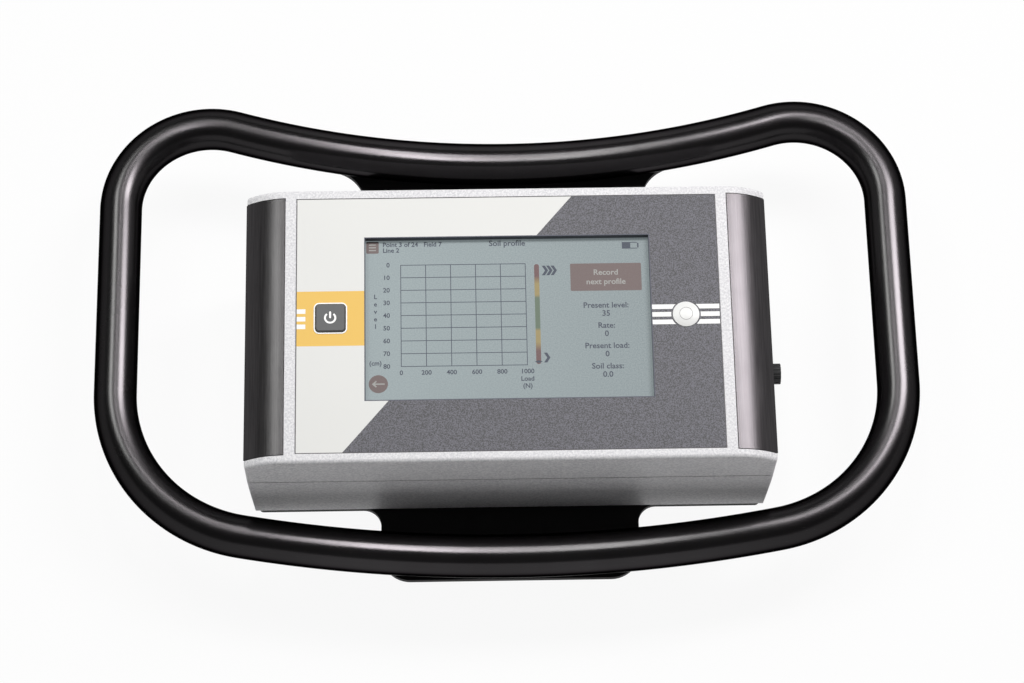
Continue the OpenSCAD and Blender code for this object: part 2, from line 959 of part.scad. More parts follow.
module lid_screws() {
    color("#a7a9ac")
        at_case()
            four_corners(lid_screw_x, lid_screw_y)
                translate([0, 0, lid_seat_z])
                    mirror([0, 0, 1])
                        screw(lid_screw_d, lid_screw_len);
}

module case_screws() {
    color("#a7a9ac")
        case_screw_places()
            translate([0, 0, plate_z])
                screw(case_screw_d, case_screw_len);
}

module trim_strip() {
    color("#3b3b3e")
        at_case()
            roll_strip(roll_r - trim_t, roll_r, trim_low_angle, trim_high_angle, trim_len);
}

module right_trim() {
    trim_strip();
}

module left_trim() {
    mirror([1, 0, 0])
        trim_strip();
}

// The front face

module front_overlay() {
    color("#e9e9e6")
        at_case()
            translate([0, 0, -overlay_recess])
                linear_extrude(overlay_t)
                    difference() {
                        square([overlay_w, overlay_d], center = true);
                        translate([0, window_y])
                            square([window_w, window_d], center = true);
                        translate([-button_x, button_y])
                            rounded(bezel_w + 2 * fit, bezel_w + 2 * fit, bezel_corner_r);
                        translate([level_x, level_y])
                            circle(level_r + fit);
                    }
}

// A gasket on the glass, with an upstand that lines the window
module screen_gasket() {
    color("#1a1a1b")
        at_window()
            difference() {
                union() {
                    translate([0, 0, glass_z])
                        linear_extrude(screen_gasket_t)
                            square([glass_w, glass_d], center = true);
                    translate([0, 0, -window_lip - sink])
                        linear_extrude(window_lip + sink - overlay_recess)
                            square([upstand_w, upstand_d], center = true);
                }
                translate([0, 0, glass_z - over])
                    linear_extrude(screen_gasket_t + window_lip + over)
                        square([window_w, window_d], center = true);
            }
}

module touch_panel() {
    color("#9fadb0")
        at_window()
            translate([0, 0, lcd_z])
                linear_extrude(glass_t)
                    square([glass_w, glass_d], center = true);
}

module lcd_module() {
    color("#3a3f44")
        at_window()
            translate([0, 0, bracket_z])
                linear_extrude(lcd_t)
                    square([lcd_w, lcd_d], center = true);
}

module display_bracket() {
    color("#b4b6b8")
        at_window()
            translate([0, 0, bracket_z - bracket_t])
                linear_extrude(bracket_t)
                    difference() {
                        rounded(bracket_w, bracket_d, bracket_corner_r);
                        rounded(lcd_w - 2 * bracket_ledge, lcd_d - 2 * bracket_ledge, bracket_corner_r);
                        four_corners(display_post_x, display_post_y)
                            circle(display_screw_d / 2 + loose);
                    }
}

module display_screws() {
    color("#a7a9ac")
        at_window()
            translate([0, 0, bracket_z - bracket_t])
                four_corners(display_post_x, display_post_y)
                    screw(display_screw_d, bracket_t + thread_grip);
}

// The power button and its switch

module power_button_cap() {
    flange_w = bezel_w - 2 * loose;
    top_w = button_w - 2 * cap_bevel;
    color("#55585c")
        at_button() {
            hull() {
                translate([0, 0, button_rise - cap_bevel])
                    linear_extrude(cap_bevel)
                        rounded(top_w, top_w, button_corner_r - cap_bevel, $fn = coin_sides);
                translate([0, 0, button_rise - 2 * cap_bevel])
                    linear_extrude(cap_bevel)
                        rounded(button_w, button_w, button_corner_r, $fn = coin_sides);
            }
            translate([0, 0, cap_flange_z])
                linear_extrude(button_rise - cap_bevel - cap_flange_z - cap_bevel / 2)
                    rounded(button_w, button_w, button_corner_r);
            translate([0, 0, cap_flange_z])
                linear_extrude(cap_flange_t)
                    rounded(flange_w, flange_w, button_corner_r);
            translate([0, 0, stem_z])
                cylinder(r = stem_r, h = cap_flange_z - stem_z);
        }
}

module button_bezel() {
    inner_w = button_w + 2 * loose;
    color("#f4f4f2")
        at_button()
            difference() {
                union() {
                    translate([0, 0, -case_wall])
                        linear_extrude(bezel_top + case_wall)
                            rounded(bezel_w, bezel_w, bezel_corner_r);
                    translate([0, 0, bezel_low])
                        linear_extrude(bezel_flange_t)
                            rounded(bezel_flange_w, bezel_flange_w, bezel_corner_r);
                }
                translate([0, 0, bezel_low - over])
                    linear_extrude(bezel_top - bezel_low + 2 * over)
                        rounded(inner_w, inner_w, button_corner_r + loose);
            }
}

module tact_switch() {
    color("#2b2c2e")
        at_button()
            translate([0, 0, switch_board_z])
                difference() {
                    linear_extrude(switch_h)
                        square(switch_w, center = true);
                    translate([0, 0, switch_floor])
                        cylinder(r = switch_well_r, h = dome_h + over);
                }
}

module button_dome() {
    foot_r = switch_well_r - loose;
    color("#d8d8d2")
        at_button()
            translate([0, 0, dome_z])
                rotate_extrude()
                    polygon([
                        [foot_r - dome_t, 0], [foot_r, 0], [foot_r, dome_t],
                        [stem_r - dome_t, dome_h], [0, dome_h], [0, dome_h - dome_t],
                        [stem_r - 2 * dome_t, dome_h - dome_t]
                    ]);
}

module switch_board() {
    color("#2f6b45")
        at_button()
            translate([0, 0, switch_board_z - board_t])
                linear_extrude(board_t)
                    difference() {
                        rounded(switch_board_w, switch_board_d, switch_board_corner_r);
                        for (y = [-1, 1])
                            translate([0, y * switch_post_y])
                                circle(switch_screw_d / 2 + loose);
                    }
}

module switch_screws() {
    color("#a7a9ac")
        at_button()
            for (y = [-1, 1])
                translate([0, y * switch_post_y, switch_board_z - board_t])
                    screw(switch_screw_d, board_t + thread_grip);
}

// The spirit level

module level_cup() {
    color("#e4e4e2")
        at_level()
            difference() {
                union() {
                    translate([0, 0, level_low])
                        cylinder(r = level_r, h = level_rim_z - level_low);
                    translate([0, 0, -case_wall - level_flange_t])
                        cylinder(r = level_r + level_flange, h = level_flange_t);
                }
                translate([0, 0, level_low + level_floor])
                    cylinder(r = level_r - level_wall, h = level_rim_z - level_low);
            }
}

module level_fluid() {
    color("#dfe6df")
        at_level()
            translate([0, 0, level_low + level_floor])
                cylinder(r = level_r - level_wall - fit,
                    h = level_rim_z - level_plug - level_low - level_floor);
}

module level_lens() {
    color("#eef1f2")
        at_level() {
            translate([0, 0, level_rim_z - level_plug])
                cylinder(r = level_r - level_wall - fit, h = level_plug);
            translate([0, 0, level_rim_z])
                rotate_extrude()
                    intersection() {
                        translate([0, level_dome_h - level_dome_r])
                            circle(level_dome_r, $fn = arc_sides);
                        square([level_r, level_dome_h]);
                    }
        }
}

// The electronics and the battery in the base

module board_hole_places() {
    translate([board_x, 0])
        four_corners(board_w / 2 - board_hole_inset, board_d / 2 - board_hole_inset)
            children();
}

module main_board() {
    color("#2f6b45")
        at_case()
            translate([0, 0, board_z])
                linear_extrude(board_t)
                    difference() {
                        translate([board_x, 0])
                            rounded(board_w, board_d, board_corner_r);
                        board_hole_places()
                            circle(board_screw_d / 2 + loose);
                    }
}

module board_spacers() {
    color("#b79a54")
        at_case()
            translate([0, 0, floor_z])
                board_hole_places()
                    difference() {
                        cylinder(r = spacer_r, h = spacer_h, $fn = hex_sides);
                        translate([0, 0, blind_floor])
                            cylinder(r = board_screw_d / 2 + fit, h = spacer_h);
                    }
}

module board_screws() {
    color("#a7a9ac")
        at_case()
            translate([0, 0, board_top])
                board_hole_places()
                    mirror([0, 0, 1])
                        screw(board_screw_d, board_t + thread_grip);
}

module processor_module() {
    color("#26282b")
        at_case()
            translate([board_x - board_w / 2 + processor_edge, processor_y - processor_d / 2, board_top]) {
                cube([processor_w, processor_d, processor_t]);
                translate([(processor_w - chip_w) / 2, (processor_d - chip_w) / 2, 0])
                    cube([chip_w, chip_w, chip_t]);
            }
}

module board_connectors() {
    slot_w = connector_w - 2 * connector_wall;
    slot_d = connector_d - 2 * connector_wall;
    color("#e6e2d3")
        at_case()
            for (i = [0 : connector_count - 1])
                translate([
                    board_x + (i - (connector_count - 1) / 2) * connector_pitch - connector_w / 2,
                    connector_inset - board_d / 2,
                    board_top
                ])
                    difference() {
                        cube([connector_w, connector_d, connector_h]);
                        translate([connector_wall, connector_wall, connector_floor])
                            cube([slot_w, slot_d, connector_h]);
                    }
}

module battery_pack() {
    color("#3b5f8f")
        at_case()
            translate([-battery_x, 0, floor_z])
                linear_extrude(battery_t)
                    rounded(battery_w, battery_d, battery_corner_r);
}

module battery_clamp() {
    inner_d = battery_d + 2 * loose;
    outer_d = inner_d + 2 * clamp_t;
    inner_h = battery_t + loose - clamp_boss_h;
    color("#a9abad")
        at_case()
            translate([-battery_x, 0, floor_z + clamp_boss_h])
                difference() {
                    union() {
                        translate([-clamp_w / 2, -outer_d / 2, 0])
                            cube([clamp_w, outer_d, inner_h + clamp_t]);
                        translate([-clamp_w / 2, -outer_d / 2 - clamp_foot, 0])
                            cube([clamp_w, outer_d + 2 * clamp_foot, clamp_t]);
                    }
                    translate([-clamp_w / 2 - over, -inner_d / 2, -over])
                        cube([clamp_w + 2 * over, inner_d, inner_h + over]);
                    for (y = [-1, 1])
                        translate([0, y * clamp_screw_y, -over])
                            cylinder(r = clamp_screw_d / 2 + loose, h = clamp_t + 2 * over);
                }
}

module clamp_screws() {
    color("#8d8f92")
        at_case()
            for (y = [-1, 1])
                translate([-battery_x, y * clamp_screw_y, floor_z + clamp_boss_h + clamp_t])
                    mirror([0, 0, 1])
                        screw(clamp_screw_d, clamp_t + clamp_boss_h - blind_floor - tip_gap);
}

// The port in the right end wall

module port_seal() {
    color("#19191a")
        at_port()
            ring(port_flange_r, port_r + fit, port_seal_t);
}

module port_socket() {
    cavity_r = port_collar_r - port_collar_wall;
    cavity_z = port_seal_t + port_cavity_floor;
    tail_len = case_wall + port_nut_t + port_tail;
    color("#4a4b4d")
        at_port() {
            difference() {
                union() {
                    translate([0, 0, -tail_len])
                        cylinder(r = port_r, h = tail_len + port_seal_t);
                    translate([0, 0, port_seal_t])
                        cylinder(r = port_flange_r, h = port_flange_t);
                    translate([0, 0, port_flange_top])
                        cylinder(r = port_collar_r, h = port_collar_len);
                }
                translate([0, 0, cavity_z])
                    cylinder(r = cavity_r, h = port_flange_top + port_collar_len);
            }
            for (a = [45 : 90 : 315])
                rotate(a)
                    translate([port_pin_circle_r, 0, cavity_z - port_pin_r])
                        cylinder(r = port_pin_r, h = port_collar_len);
        }
}

module port_nut() {
    color("#9a9c9f")
        at_port()
            translate([0, 0, -case_wall - port_nut_t])
                difference() {
                    cylinder(r = port_r + port_nut_wall, h = port_nut_t, $fn = hex_sides);
                    translate([0, 0, -over])
                        cylinder(r = port_r + fit, h = port_nut_t + 2 * over);
                }
}

module port_cap() {
    cap_r = port_cap_d / 2;
    bore_len = port_collar_len + port_cap_spare;
    color("#161617")
        at_port()
            difference() {
                translate([0, 0, port_cap_start])
                    cylinder(r = cap_r, h = port_cap_len);
                translate([0, 0, port_cap_start - over])
                    cylinder(r = port_collar_r + port_cap_fit, h = bore_len + over);
                for (i = [0 : port_groove_count - 1])
                    rotate(i * 360 / port_groove_count)
                        translate([cap_r + port_groove_r / 3, 0, port_cap_start + port_groove_start])
                            cylinder(r = port_groove_r, h = port_cap_len);
            }
}

// The sensor housing under the plate

module housing_form() {
    translate([0, housing_y, housing_bevel])
        linear_extrude(housing_h - housing_bevel)
            rounded(housing_w, housing_d, housing_corner_r);
    hull()
        for (step = [0, housing_bevel])
            translate([0, housing_y, step])
                linear_extrude(housing_base_t)
                    rounded(housing_w - 2 * (housing_bevel - step), housing_d - 2 * (housing_bevel - step),
                        housing_corner_r - housing_bevel + step, $fn = coin_sides);
}

module sensor_housing() {
    inner_w = housing_w - 2 * housing_wall;
    inner_d = housing_d - 2 * housing_wall;
    color("#232325")
        difference() {
            housing_form();
            difference() {
                translate([0, housing_y, housing_floor])
                    linear_extrude(housing_h)
                        rounded(inner_w, inner_d, housing_corner_r - housing_wall);
                housing_screw_places()
                    translate([0, 0, -over])
                        cylinder(r = housing_boss_r, h = housing_h + 2 * over);
            }
            housing_screw_places() {
                translate([0, 0, -over])
                    cylinder(r = housing_screw_d / 2 + loose, h = housing_h + 2 * over);
                translate([0, 0, -over])
                    cylinder(r = housing_screw_d * head_r_ratio + loose, h = housing_seat_z + over);
            }
            translate([0, 0, -over])
                cylinder(r = seal_r + fit, h = housing_floor + 2 * over);
            translate([0, sensor_y, -over])
                cylinder(r = grommet_r + fit, h = housing_floor + 2 * over);
        }
}

module housing_gasket() {
    color("#19191a")
        translate([0, housing_y, housing_h])
            linear_extrude(housing_seam_t)
                difference() {
                    rounded(housing_w - 2 * housing_gasket_inset, housing_d - 2 * housing_gasket_inset,
                        housing_corner_r - housing_gasket_inset);
                    difference() {
                        rounded(housing_w - 2 * housing_wall, housing_d - 2 * housing_wall,
                            housing_corner_r - housing_wall);
                        four_corners(housing_screw_x, housing_screw_y)
                            circle(housing_boss_r);
                    }
                    four_corners(housing_screw_x, housing_screw_y)
                        circle(housing_screw_d / 2 + loose);
                }
}

module housing_screws() {
    color("#a7a9ac")
        housing_screw_places()
            translate([0, 0, housing_seat_z])
                screw(housing_screw_d, housing_screw_len);
}

module load_cell() {
    color("#b9bbbd")
        difference() {
            translate([0, 0, cell_z])
                cylinder(r = cell_d / 2, h = cell_t);
            translate([0, 0, cell_z - over])
                cylinder(r = stud_r + fit, h = over + stud_len + stud_gap);
            translate([0, 0, cell_z - over])
                cell_bolt_places()
                    cylinder(r = cell_bolt_d / 2 + loose, h = cell_t + 2 * over);
        }
}

module load_cell_bolts() {
    color("#8d8f92")
        translate([0, 0, cell_z])
            cell_bolt_places()
                screw(cell_bolt_d, cell_t + plate_t - tip_gap);
}

module rod_socket() {
    color("#c4c6c8")
        difference() {
            union() {
                translate([0, 0, socket_mouth])
                    cylinder(r = socket_d / 2, h = cell_z - socket_mouth);
                translate([0, 0, cell_z])
                    cylinder(r = stud_r, h = stud_len);
            }
            translate([0, 0, socket_mouth - over])
                cylinder(r = rod_thread_d / 2, h = rod_thread_len + over);
        }
}

module socket_seal() {
    color("#141415")
        translate([0, 0, housing_bevel / 2])
            ring(seal_r, socket_d / 2 + fit, housing_floor - housing_bevel / 2);
}

module ultrasonic_sensor() {
    horn_r = sensor_d / 2 - horn_rim;
    color("#d4d6d8")
        translate([0, sensor_y, sensor_face])
            difference() {
                cylinder(r = sensor_d / 2, h = sensor_len);
                translate([0, 0, -over])
                    cylinder(r = horn_r, h = over + horn_depth);
            }
}

module sensor_grommet() {
    color("#141415")
        translate([0, sensor_y, 0]) {
            translate([0, 0, sensor_face / 2])
                ring(grommet_r, sensor_d / 2 + fit, housing_floor - sensor_face / 2);
            translate([0, 0, housing_floor])
                ring(grommet_r + grommet_flange, sensor_d / 2 + fit, grommet_flange_t);
        }
}

module cable_grommet() {
    inside_floor = plate_top + case_wall;
    color("#141415")
        translate([cable_x, cable_y, 0]) {
            translate([0, 0, plate_z])
                ring(cable_hole_r - fit, cable_bore_r, inside_floor - plate_z);
            translate([0, 0, inside_floor])
                ring(cable_hole_r + cable_flange, cable_bore_r, cable_flange_t);
        }
}

far_bar();
near_bar();
left_grip();
right_grip();
handle_inserts();
handle_screws();
carrier_plate();
case_base();
lid_gasket();
case_lid();
lid_screws();
case_screws();
left_trim();
right_trim();
front_overlay();
screen_gasket();
touch_panel();
lcd_module();
display_bracket();
display_screws();
power_button_cap();
button_bezel();
tact_switch();
button_dome();
switch_board();
switch_screws();
level_cup();
level_fluid();
level_lens();
main_board();
board_spacers();
board_screws();
processor_module();
board_connectors();
battery_pack();
battery_clamp();
clamp_screws();
port_socket();
port_seal();
port_nut();
port_cap();
sensor_housing();
housing_gasket();
housing_screws();
load_cell();
load_cell_bolts();
rod_socket();
socket_seal();
ultrasonic_sensor();
sensor_grommet();
cable_grommet();
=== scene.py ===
"""Looks of a soil penetrometer's handle and data logger unit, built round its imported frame."""

import json
import math

import bmesh
import bpy
import numpy as np
from mathutils import Matrix, Vector


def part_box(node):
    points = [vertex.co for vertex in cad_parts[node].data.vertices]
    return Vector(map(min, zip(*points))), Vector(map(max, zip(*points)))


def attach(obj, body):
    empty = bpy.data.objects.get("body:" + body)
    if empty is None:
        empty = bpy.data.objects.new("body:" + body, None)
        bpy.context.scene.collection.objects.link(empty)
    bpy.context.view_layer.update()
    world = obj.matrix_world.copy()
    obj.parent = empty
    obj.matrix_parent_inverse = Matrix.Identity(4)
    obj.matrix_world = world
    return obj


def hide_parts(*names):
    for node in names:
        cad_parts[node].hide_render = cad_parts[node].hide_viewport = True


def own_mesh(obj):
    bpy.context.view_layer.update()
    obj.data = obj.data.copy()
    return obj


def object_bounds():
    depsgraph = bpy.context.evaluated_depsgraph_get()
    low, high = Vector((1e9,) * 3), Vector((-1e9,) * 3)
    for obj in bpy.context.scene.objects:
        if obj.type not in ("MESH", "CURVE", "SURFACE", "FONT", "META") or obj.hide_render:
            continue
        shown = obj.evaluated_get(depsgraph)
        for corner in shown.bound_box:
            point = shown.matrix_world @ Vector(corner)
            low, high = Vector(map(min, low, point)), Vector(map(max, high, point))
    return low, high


bl_info = {
    "name": "Soil penetrometer looks",
    "version": (1, 0, 0),
    "blender": (4, 5, 0),
    "location": "View3D > Sidebar > Penetrometer",
    "description": "Finishes, screen image and stage for a soil penetrometer's data logger unit",
    "category": "Object",
}

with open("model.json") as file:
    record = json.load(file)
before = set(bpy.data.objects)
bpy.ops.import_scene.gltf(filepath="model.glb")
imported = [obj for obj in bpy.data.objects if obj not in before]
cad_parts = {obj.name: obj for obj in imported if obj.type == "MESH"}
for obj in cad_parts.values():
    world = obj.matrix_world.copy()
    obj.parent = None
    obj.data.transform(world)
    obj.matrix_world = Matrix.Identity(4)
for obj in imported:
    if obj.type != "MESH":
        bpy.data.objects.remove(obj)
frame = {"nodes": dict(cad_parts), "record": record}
cad_low, cad_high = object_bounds()

MM = 0.001
UNIT = "logger_unit"
BUTTON = "power_button"
PRESS = "power_button_press"
FULL_FRAME = 36.0  # width of the camera's sensor, in mm
CAPITALS = 0.7  # share of a letter's size that its capitals take

# Places taken from the frame: the face, the screen's glass, the button, the level and the tube
face_low, face_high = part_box("front_overlay")
glass_low, glass_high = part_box("touch_panel")
cap_low, cap_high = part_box("power_button_cap")
lens_low, lens_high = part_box("level_lens")
grip_low, grip_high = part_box("right_grip")
far_low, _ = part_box("far_bar")
near_low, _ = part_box("near_bar")
face_middle = (face_low + face_high) / 2
cap_middle = (cap_low + cap_high) / 2
level_middle = (lens_low + lens_high) / 2
tube_r = (grip_high.z - grip_low.z) / 2
tube_z = (grip_high.z + grip_low.z) / 2


def length(name, description, default):
    """A length property, in metres."""
    return bpy.props.FloatProperty(
        name=name, description=description, default=default, unit="LENGTH", precision=4
    )


def angle(name, description, degrees):
    """An angle property, given in degrees."""
    return bpy.props.FloatProperty(
        name=name, description=description, default=math.radians(degrees), unit="ROTATION"
    )


def share(name, description, default):
    """A property from 0 to 1."""
    return bpy.props.FloatProperty(
        name=name, description=description, default=default, min=0, max=1, subtype="FACTOR"
    )


def power(name, description, default):
    """A lamp's power, in watts."""
    return bpy.props.FloatProperty(name=name, description=description, default=default, unit="POWER")


def colour(name, description, default):
    """A linear colour property."""
    return bpy.props.FloatVectorProperty(
        name=name, description=description, default=default, size=3, min=0, max=1, subtype="COLOR"
    )


class HandleLook(bpy.types.PropertyGroup):
    """Sizes and colours of the handle loop and its plate."""

    far_bow: length("Far bow", "Bow radius of the far bar's centre line", 0.599)
    near_bow: length("Near bow", "Bow radius of the near bar's centre line", 0.919)
    far_corner: length("Far corner", "Bend radius of the far corners", 0.0567)
    near_corner: length("Near corner", "Bend radius of the near corners", 0.0971)
    ring_step: length("Ring step", "Distance between the tube's rings", 0.003)
    paint: colour("Paint", "Light that the satin black paint throws back", (0.036, 0.034, 0.0355))
    edge: share("Edge", "Share of that kept where the surface turns away", 0.20)
    plate: colour("Plate", "Colour of the matt black plate", (0.0050, 0.0046, 0.0050))
    roughness: share("Roughness", "Roughness of the paint on the bars", 0.20)
    worn: share("Worn roughness", "Roughness of the paint on the two sides, where hands hold it", 0.27)
    # The side shade is painted shade: the paint's gloss colour is darkened on the two sides so that their
    # highlights come out dimmer.
    side_shade: share("Grip tone", "Share of the paint's gloss that is left on the two sides", 0.50)
    grip_from: length("Grip start", "Distance from the middle where the sides' roughness starts", 0.090)
    grip_to: length("Grip full", "Distance from the middle where it is full", 0.240)


class CaseLook(bpy.types.PropertyGroup):
    """Colours of the case, its end trims and its seals."""

    paint: colour("Paint", "Colour of the silver-white powder coat", (0.815, 0.808, 0.822))
    speck: colour("Speck", "Colour of the powder coat's darker specks", (0.550, 0.548, 0.575))
    trim: colour("Trim", "Colour of the dark anodised trims", (0.031, 0.029, 0.0305))
    trim_streak: colour("Trim streak", "Colour of the lighter brush marks", (0.049, 0.046, 0.048))
    rubber: colour("Rubber", "Colour of the seals", (0.020, 0.020, 0.021))
    gasket: colour("Gasket", "Colour of the rubber frame round the screen", (0.070, 0.074, 0.090))


class FaceLook(bpy.types.PropertyGroup):
    """Colours and layout of the printed overlay and of the painted shadow at its edges, measured from its
    middle.
    """

    pale: colour("Pale", "Colour of the pale field", (0.735, 0.735, 0.715))
    dark: colour("Dark", "Colour of the dark field", (0.066, 0.0645, 0.080))
    accent: colour("Accent", "Colour of the field round the button", (0.80, 0.49, 0.070))
    stripe: colour("Stripe", "Colour of the plain stripes", (0.90, 0.90, 0.89))
    # Painted shadow: the dark line at the film's edges stands in for the shade in the gap round the film.
    edge_shadow_tone: colour("Edge line", "Colour of the line at the film's edge", (0.05, 0.045, 0.055))
    window_tone: colour("Window tone", "Colour of the line round the window", (0.045, 0.050, 0.080))
    grain: length("Grain", "Size of the dark field's speckles", 0.0007)
    speckle: share("Speckle", "How far the speckles depart from the dark field's colour", 0.85)
    # outline and the long edges' width give the breadth of that painted shadow.
    outline: length("Outline", "Width of the line at the film's short edges", 0.0005)
    long_edge_shadow: length("Long outline", "Width of the line at the film's long edges", 0.0003)
    window_line: length("Window line", "Width of the dark line printed round the window", 0.0006)
    split_x: length("Split place", "Where the slanting edge crosses the middle", -0.03024)
    split_slope: bpy.props.FloatProperty(
        name="Split slope", description="Sideways step of the slanting edge to a step back",
        default=0.8496,
    )
    accent_right: length("Accent end", "Right end of the field round the button", -0.0870)
    accent_near: length("Accent near edge", "Near edge of that field", -0.0144)
    accent_far: length("Accent far edge", "Far edge of that field", 0.0215)
    stripe_middle: length("Stripe middle", "Place of the middle stripe", 0.0034)
    stripe_pitch: length("Stripe pitch", "Distance between stripes", 0.0050)
    stripe_width: length("Stripe width", "Width of a stripe", 0.0030)
    stripe_short: length("Short stripes", "Length of the stripes at the left edge", 0.0058)
    level_ring: length("Level ring", "Radius round the level kept clear of stripes", 0.0090)


class ScreenLook(bpy.types.PropertyGroup):
    """Colours and layout of the screen image, measured from the window's far left corner."""

    paper: colour("Paper", "Colour of the lit screen", (0.150, 0.176, 0.180))
    glow: share("Glow", "Strength of the screen's own light", 0.75)
    ink: colour("Ink", "Colour of lines and numbers", (0.050, 0.062, 0.092))
    key: colour("Key", "Colour of the screen's keys", (0.165, 0.122, 0.118))
    key_mark: colour("Key mark", "Colour of the marks on the keys", (0.36, 0.36, 0.345))
    body: colour("Body", "Colour of the display's body", (0.09, 0.095, 0.10))
    bar_end: colour("Bar end", "Red at the ends of the speed bar", (0.150, 0.075, 0.078))
    bar_between: colour("Bar between", "Yellow between its ends and its middle", (0.330, 0.255, 0.105))
    bar_middle: colour("Bar middle", "Green at its middle", (0.120, 0.165, 0.115))
    border: length("Border", "Border of glass hidden round the window", 0.008)
    ink_height: length("Ink height", "Thickness of the image's shapes", 0.00003)
    chart_left: length("Chart left", "Left edge of the chart", 0.0216)
    chart_right: length("Chart right", "Right edge of the chart", 0.0979)
    chart_far: length("Chart far", "Far edge of the chart", 0.0165)
    chart_near: length("Chart near", "Near edge of the chart", 0.0832)
    line: length("Line", "Width of the chart's lines", 0.00045)
    number: length("Number height", "Height of the chart's numbers", 0.0029)
    word: length("Word height", "Height of the readouts' words", 0.0036)
    weight: length("Weight", "How far the letters' strokes are thickened on each side", 0.00009)
    bar_x: length("Bar place", "Middle of the speed bar", 0.1048)
    bar_width: length("Bar width", "Width of the speed bar", 0.0030)
    bar_far: length("Bar far end", "Far end of the speed bar", 0.0169)
    bar_near: length("Bar near end", "Near end of the speed bar", 0.0828)
    readout_x: length("Readout place", "Middle of the column of readouts", 0.1466)
    readout_y: length("First readout", "Place of the first readout's word", 0.0448)
    readout_step: length("Readout step", "Distance from a readout to the next", 0.0133)
    readout_drop: length("Readout drop", "Distance from a readout's word to its number", 0.0054)


class StageLook(bpy.types.PropertyGroup):
    """Camera and studio; the power of each lamp or card has its name in the list of lamps."""

    lens: bpy.props.FloatProperty(
        name="Lens", description="Focal length of the camera", default=106.6, unit="CAMERA"
    )
    distance: length("Distance", "From the camera to the middle of the face", 1.840)
    tilt: angle("Tilt", "How far the camera leans towards the user from straight above", 22.0)
    yaw: angle("Yaw", "Turn of the camera about its upright", 1.06)
    roll: angle("Roll", "Turn of the camera about its line of sight", 0.79)
    aim_x: length("Aim sideways", "Place of the face's middle right of the picture's", -0.0021)
    aim_y: length("Aim upwards", "Place of the face's middle above the picture's", 0.0121)
    floor: colour("Floor", "Colour of the floor and its cove", (0.82, 0.82, 0.82))
    floor_glow: share("Floor glow", "Share of plain white in what is seen of the floor", 0.93)
    sky: share("Sky", "Strength of the even light from all round", 0.19)
    warm: colour("Warm tint", "Colour of the brighter lamps", (1.0, 0.975, 0.985))
    cool: colour("Cool tint", "Colour of the dimmer lamps", (0.95, 1.0, 0.95))
    right_panel: power("Right panel", "Power of the panel on the right", 27.0)
    left_panel: power("Left panel", "Power of the panel on the left", 9.5)
    overhead_left: power("Overhead left", "Power of the left lamp overhead", 9.4)
    overhead_right: power("Overhead right", "Power of the right lamp overhead", 3.6)
    right_card: power("Right card", "Power of the card on the right that the loop shows", 92.0)
    left_card: power("Left card", "Power of the card on the left that the loop shows", 23.5)
    near_left_card: power("Near left card", "Power of the left card overhead for the loop", 12.5)
    near_right_card: power("Near right card", "Power of the right card overhead for the loop", 4.8)
    right_trim_card: power("Right trim card", "Power of the card on the right for the trims", 32.0)
    left_trim_card: power("Left trim card", "Power of the card on the left for the trims", 6.5)


class Value:
    """A node's output; arithmetic on it adds Math nodes to its material."""

    def __init__(self, paint, socket):
        self.paint = paint
        self.socket = socket

    def math(self, operation, first, second=0.0):
        return self.paint.node("ShaderNodeMath", {"operation": operation}, {0: first, 1: second})

    def __add__(self, other):
        return self.math("ADD", self, other)

    def __radd__(self, other):
        return self.math("ADD", other, self)

    def __sub__(self, other):
        return self.math("SUBTRACT", self, other)

    def __rsub__(self, other):
        return self.math("SUBTRACT", other, self)

    def __mul__(self, other):
        return self.math("MULTIPLY", self, other)

    def __rmul__(self, other):
        return self.math("MULTIPLY", other, self)

    def __gt__(self, other):
        return self.math("GREATER_THAN", self, other)

    def __lt__(self, other):
        return self.math("LESS_THAN", self, other)

    def __abs__(self):
        return self.math("ABSOLUTE", self)


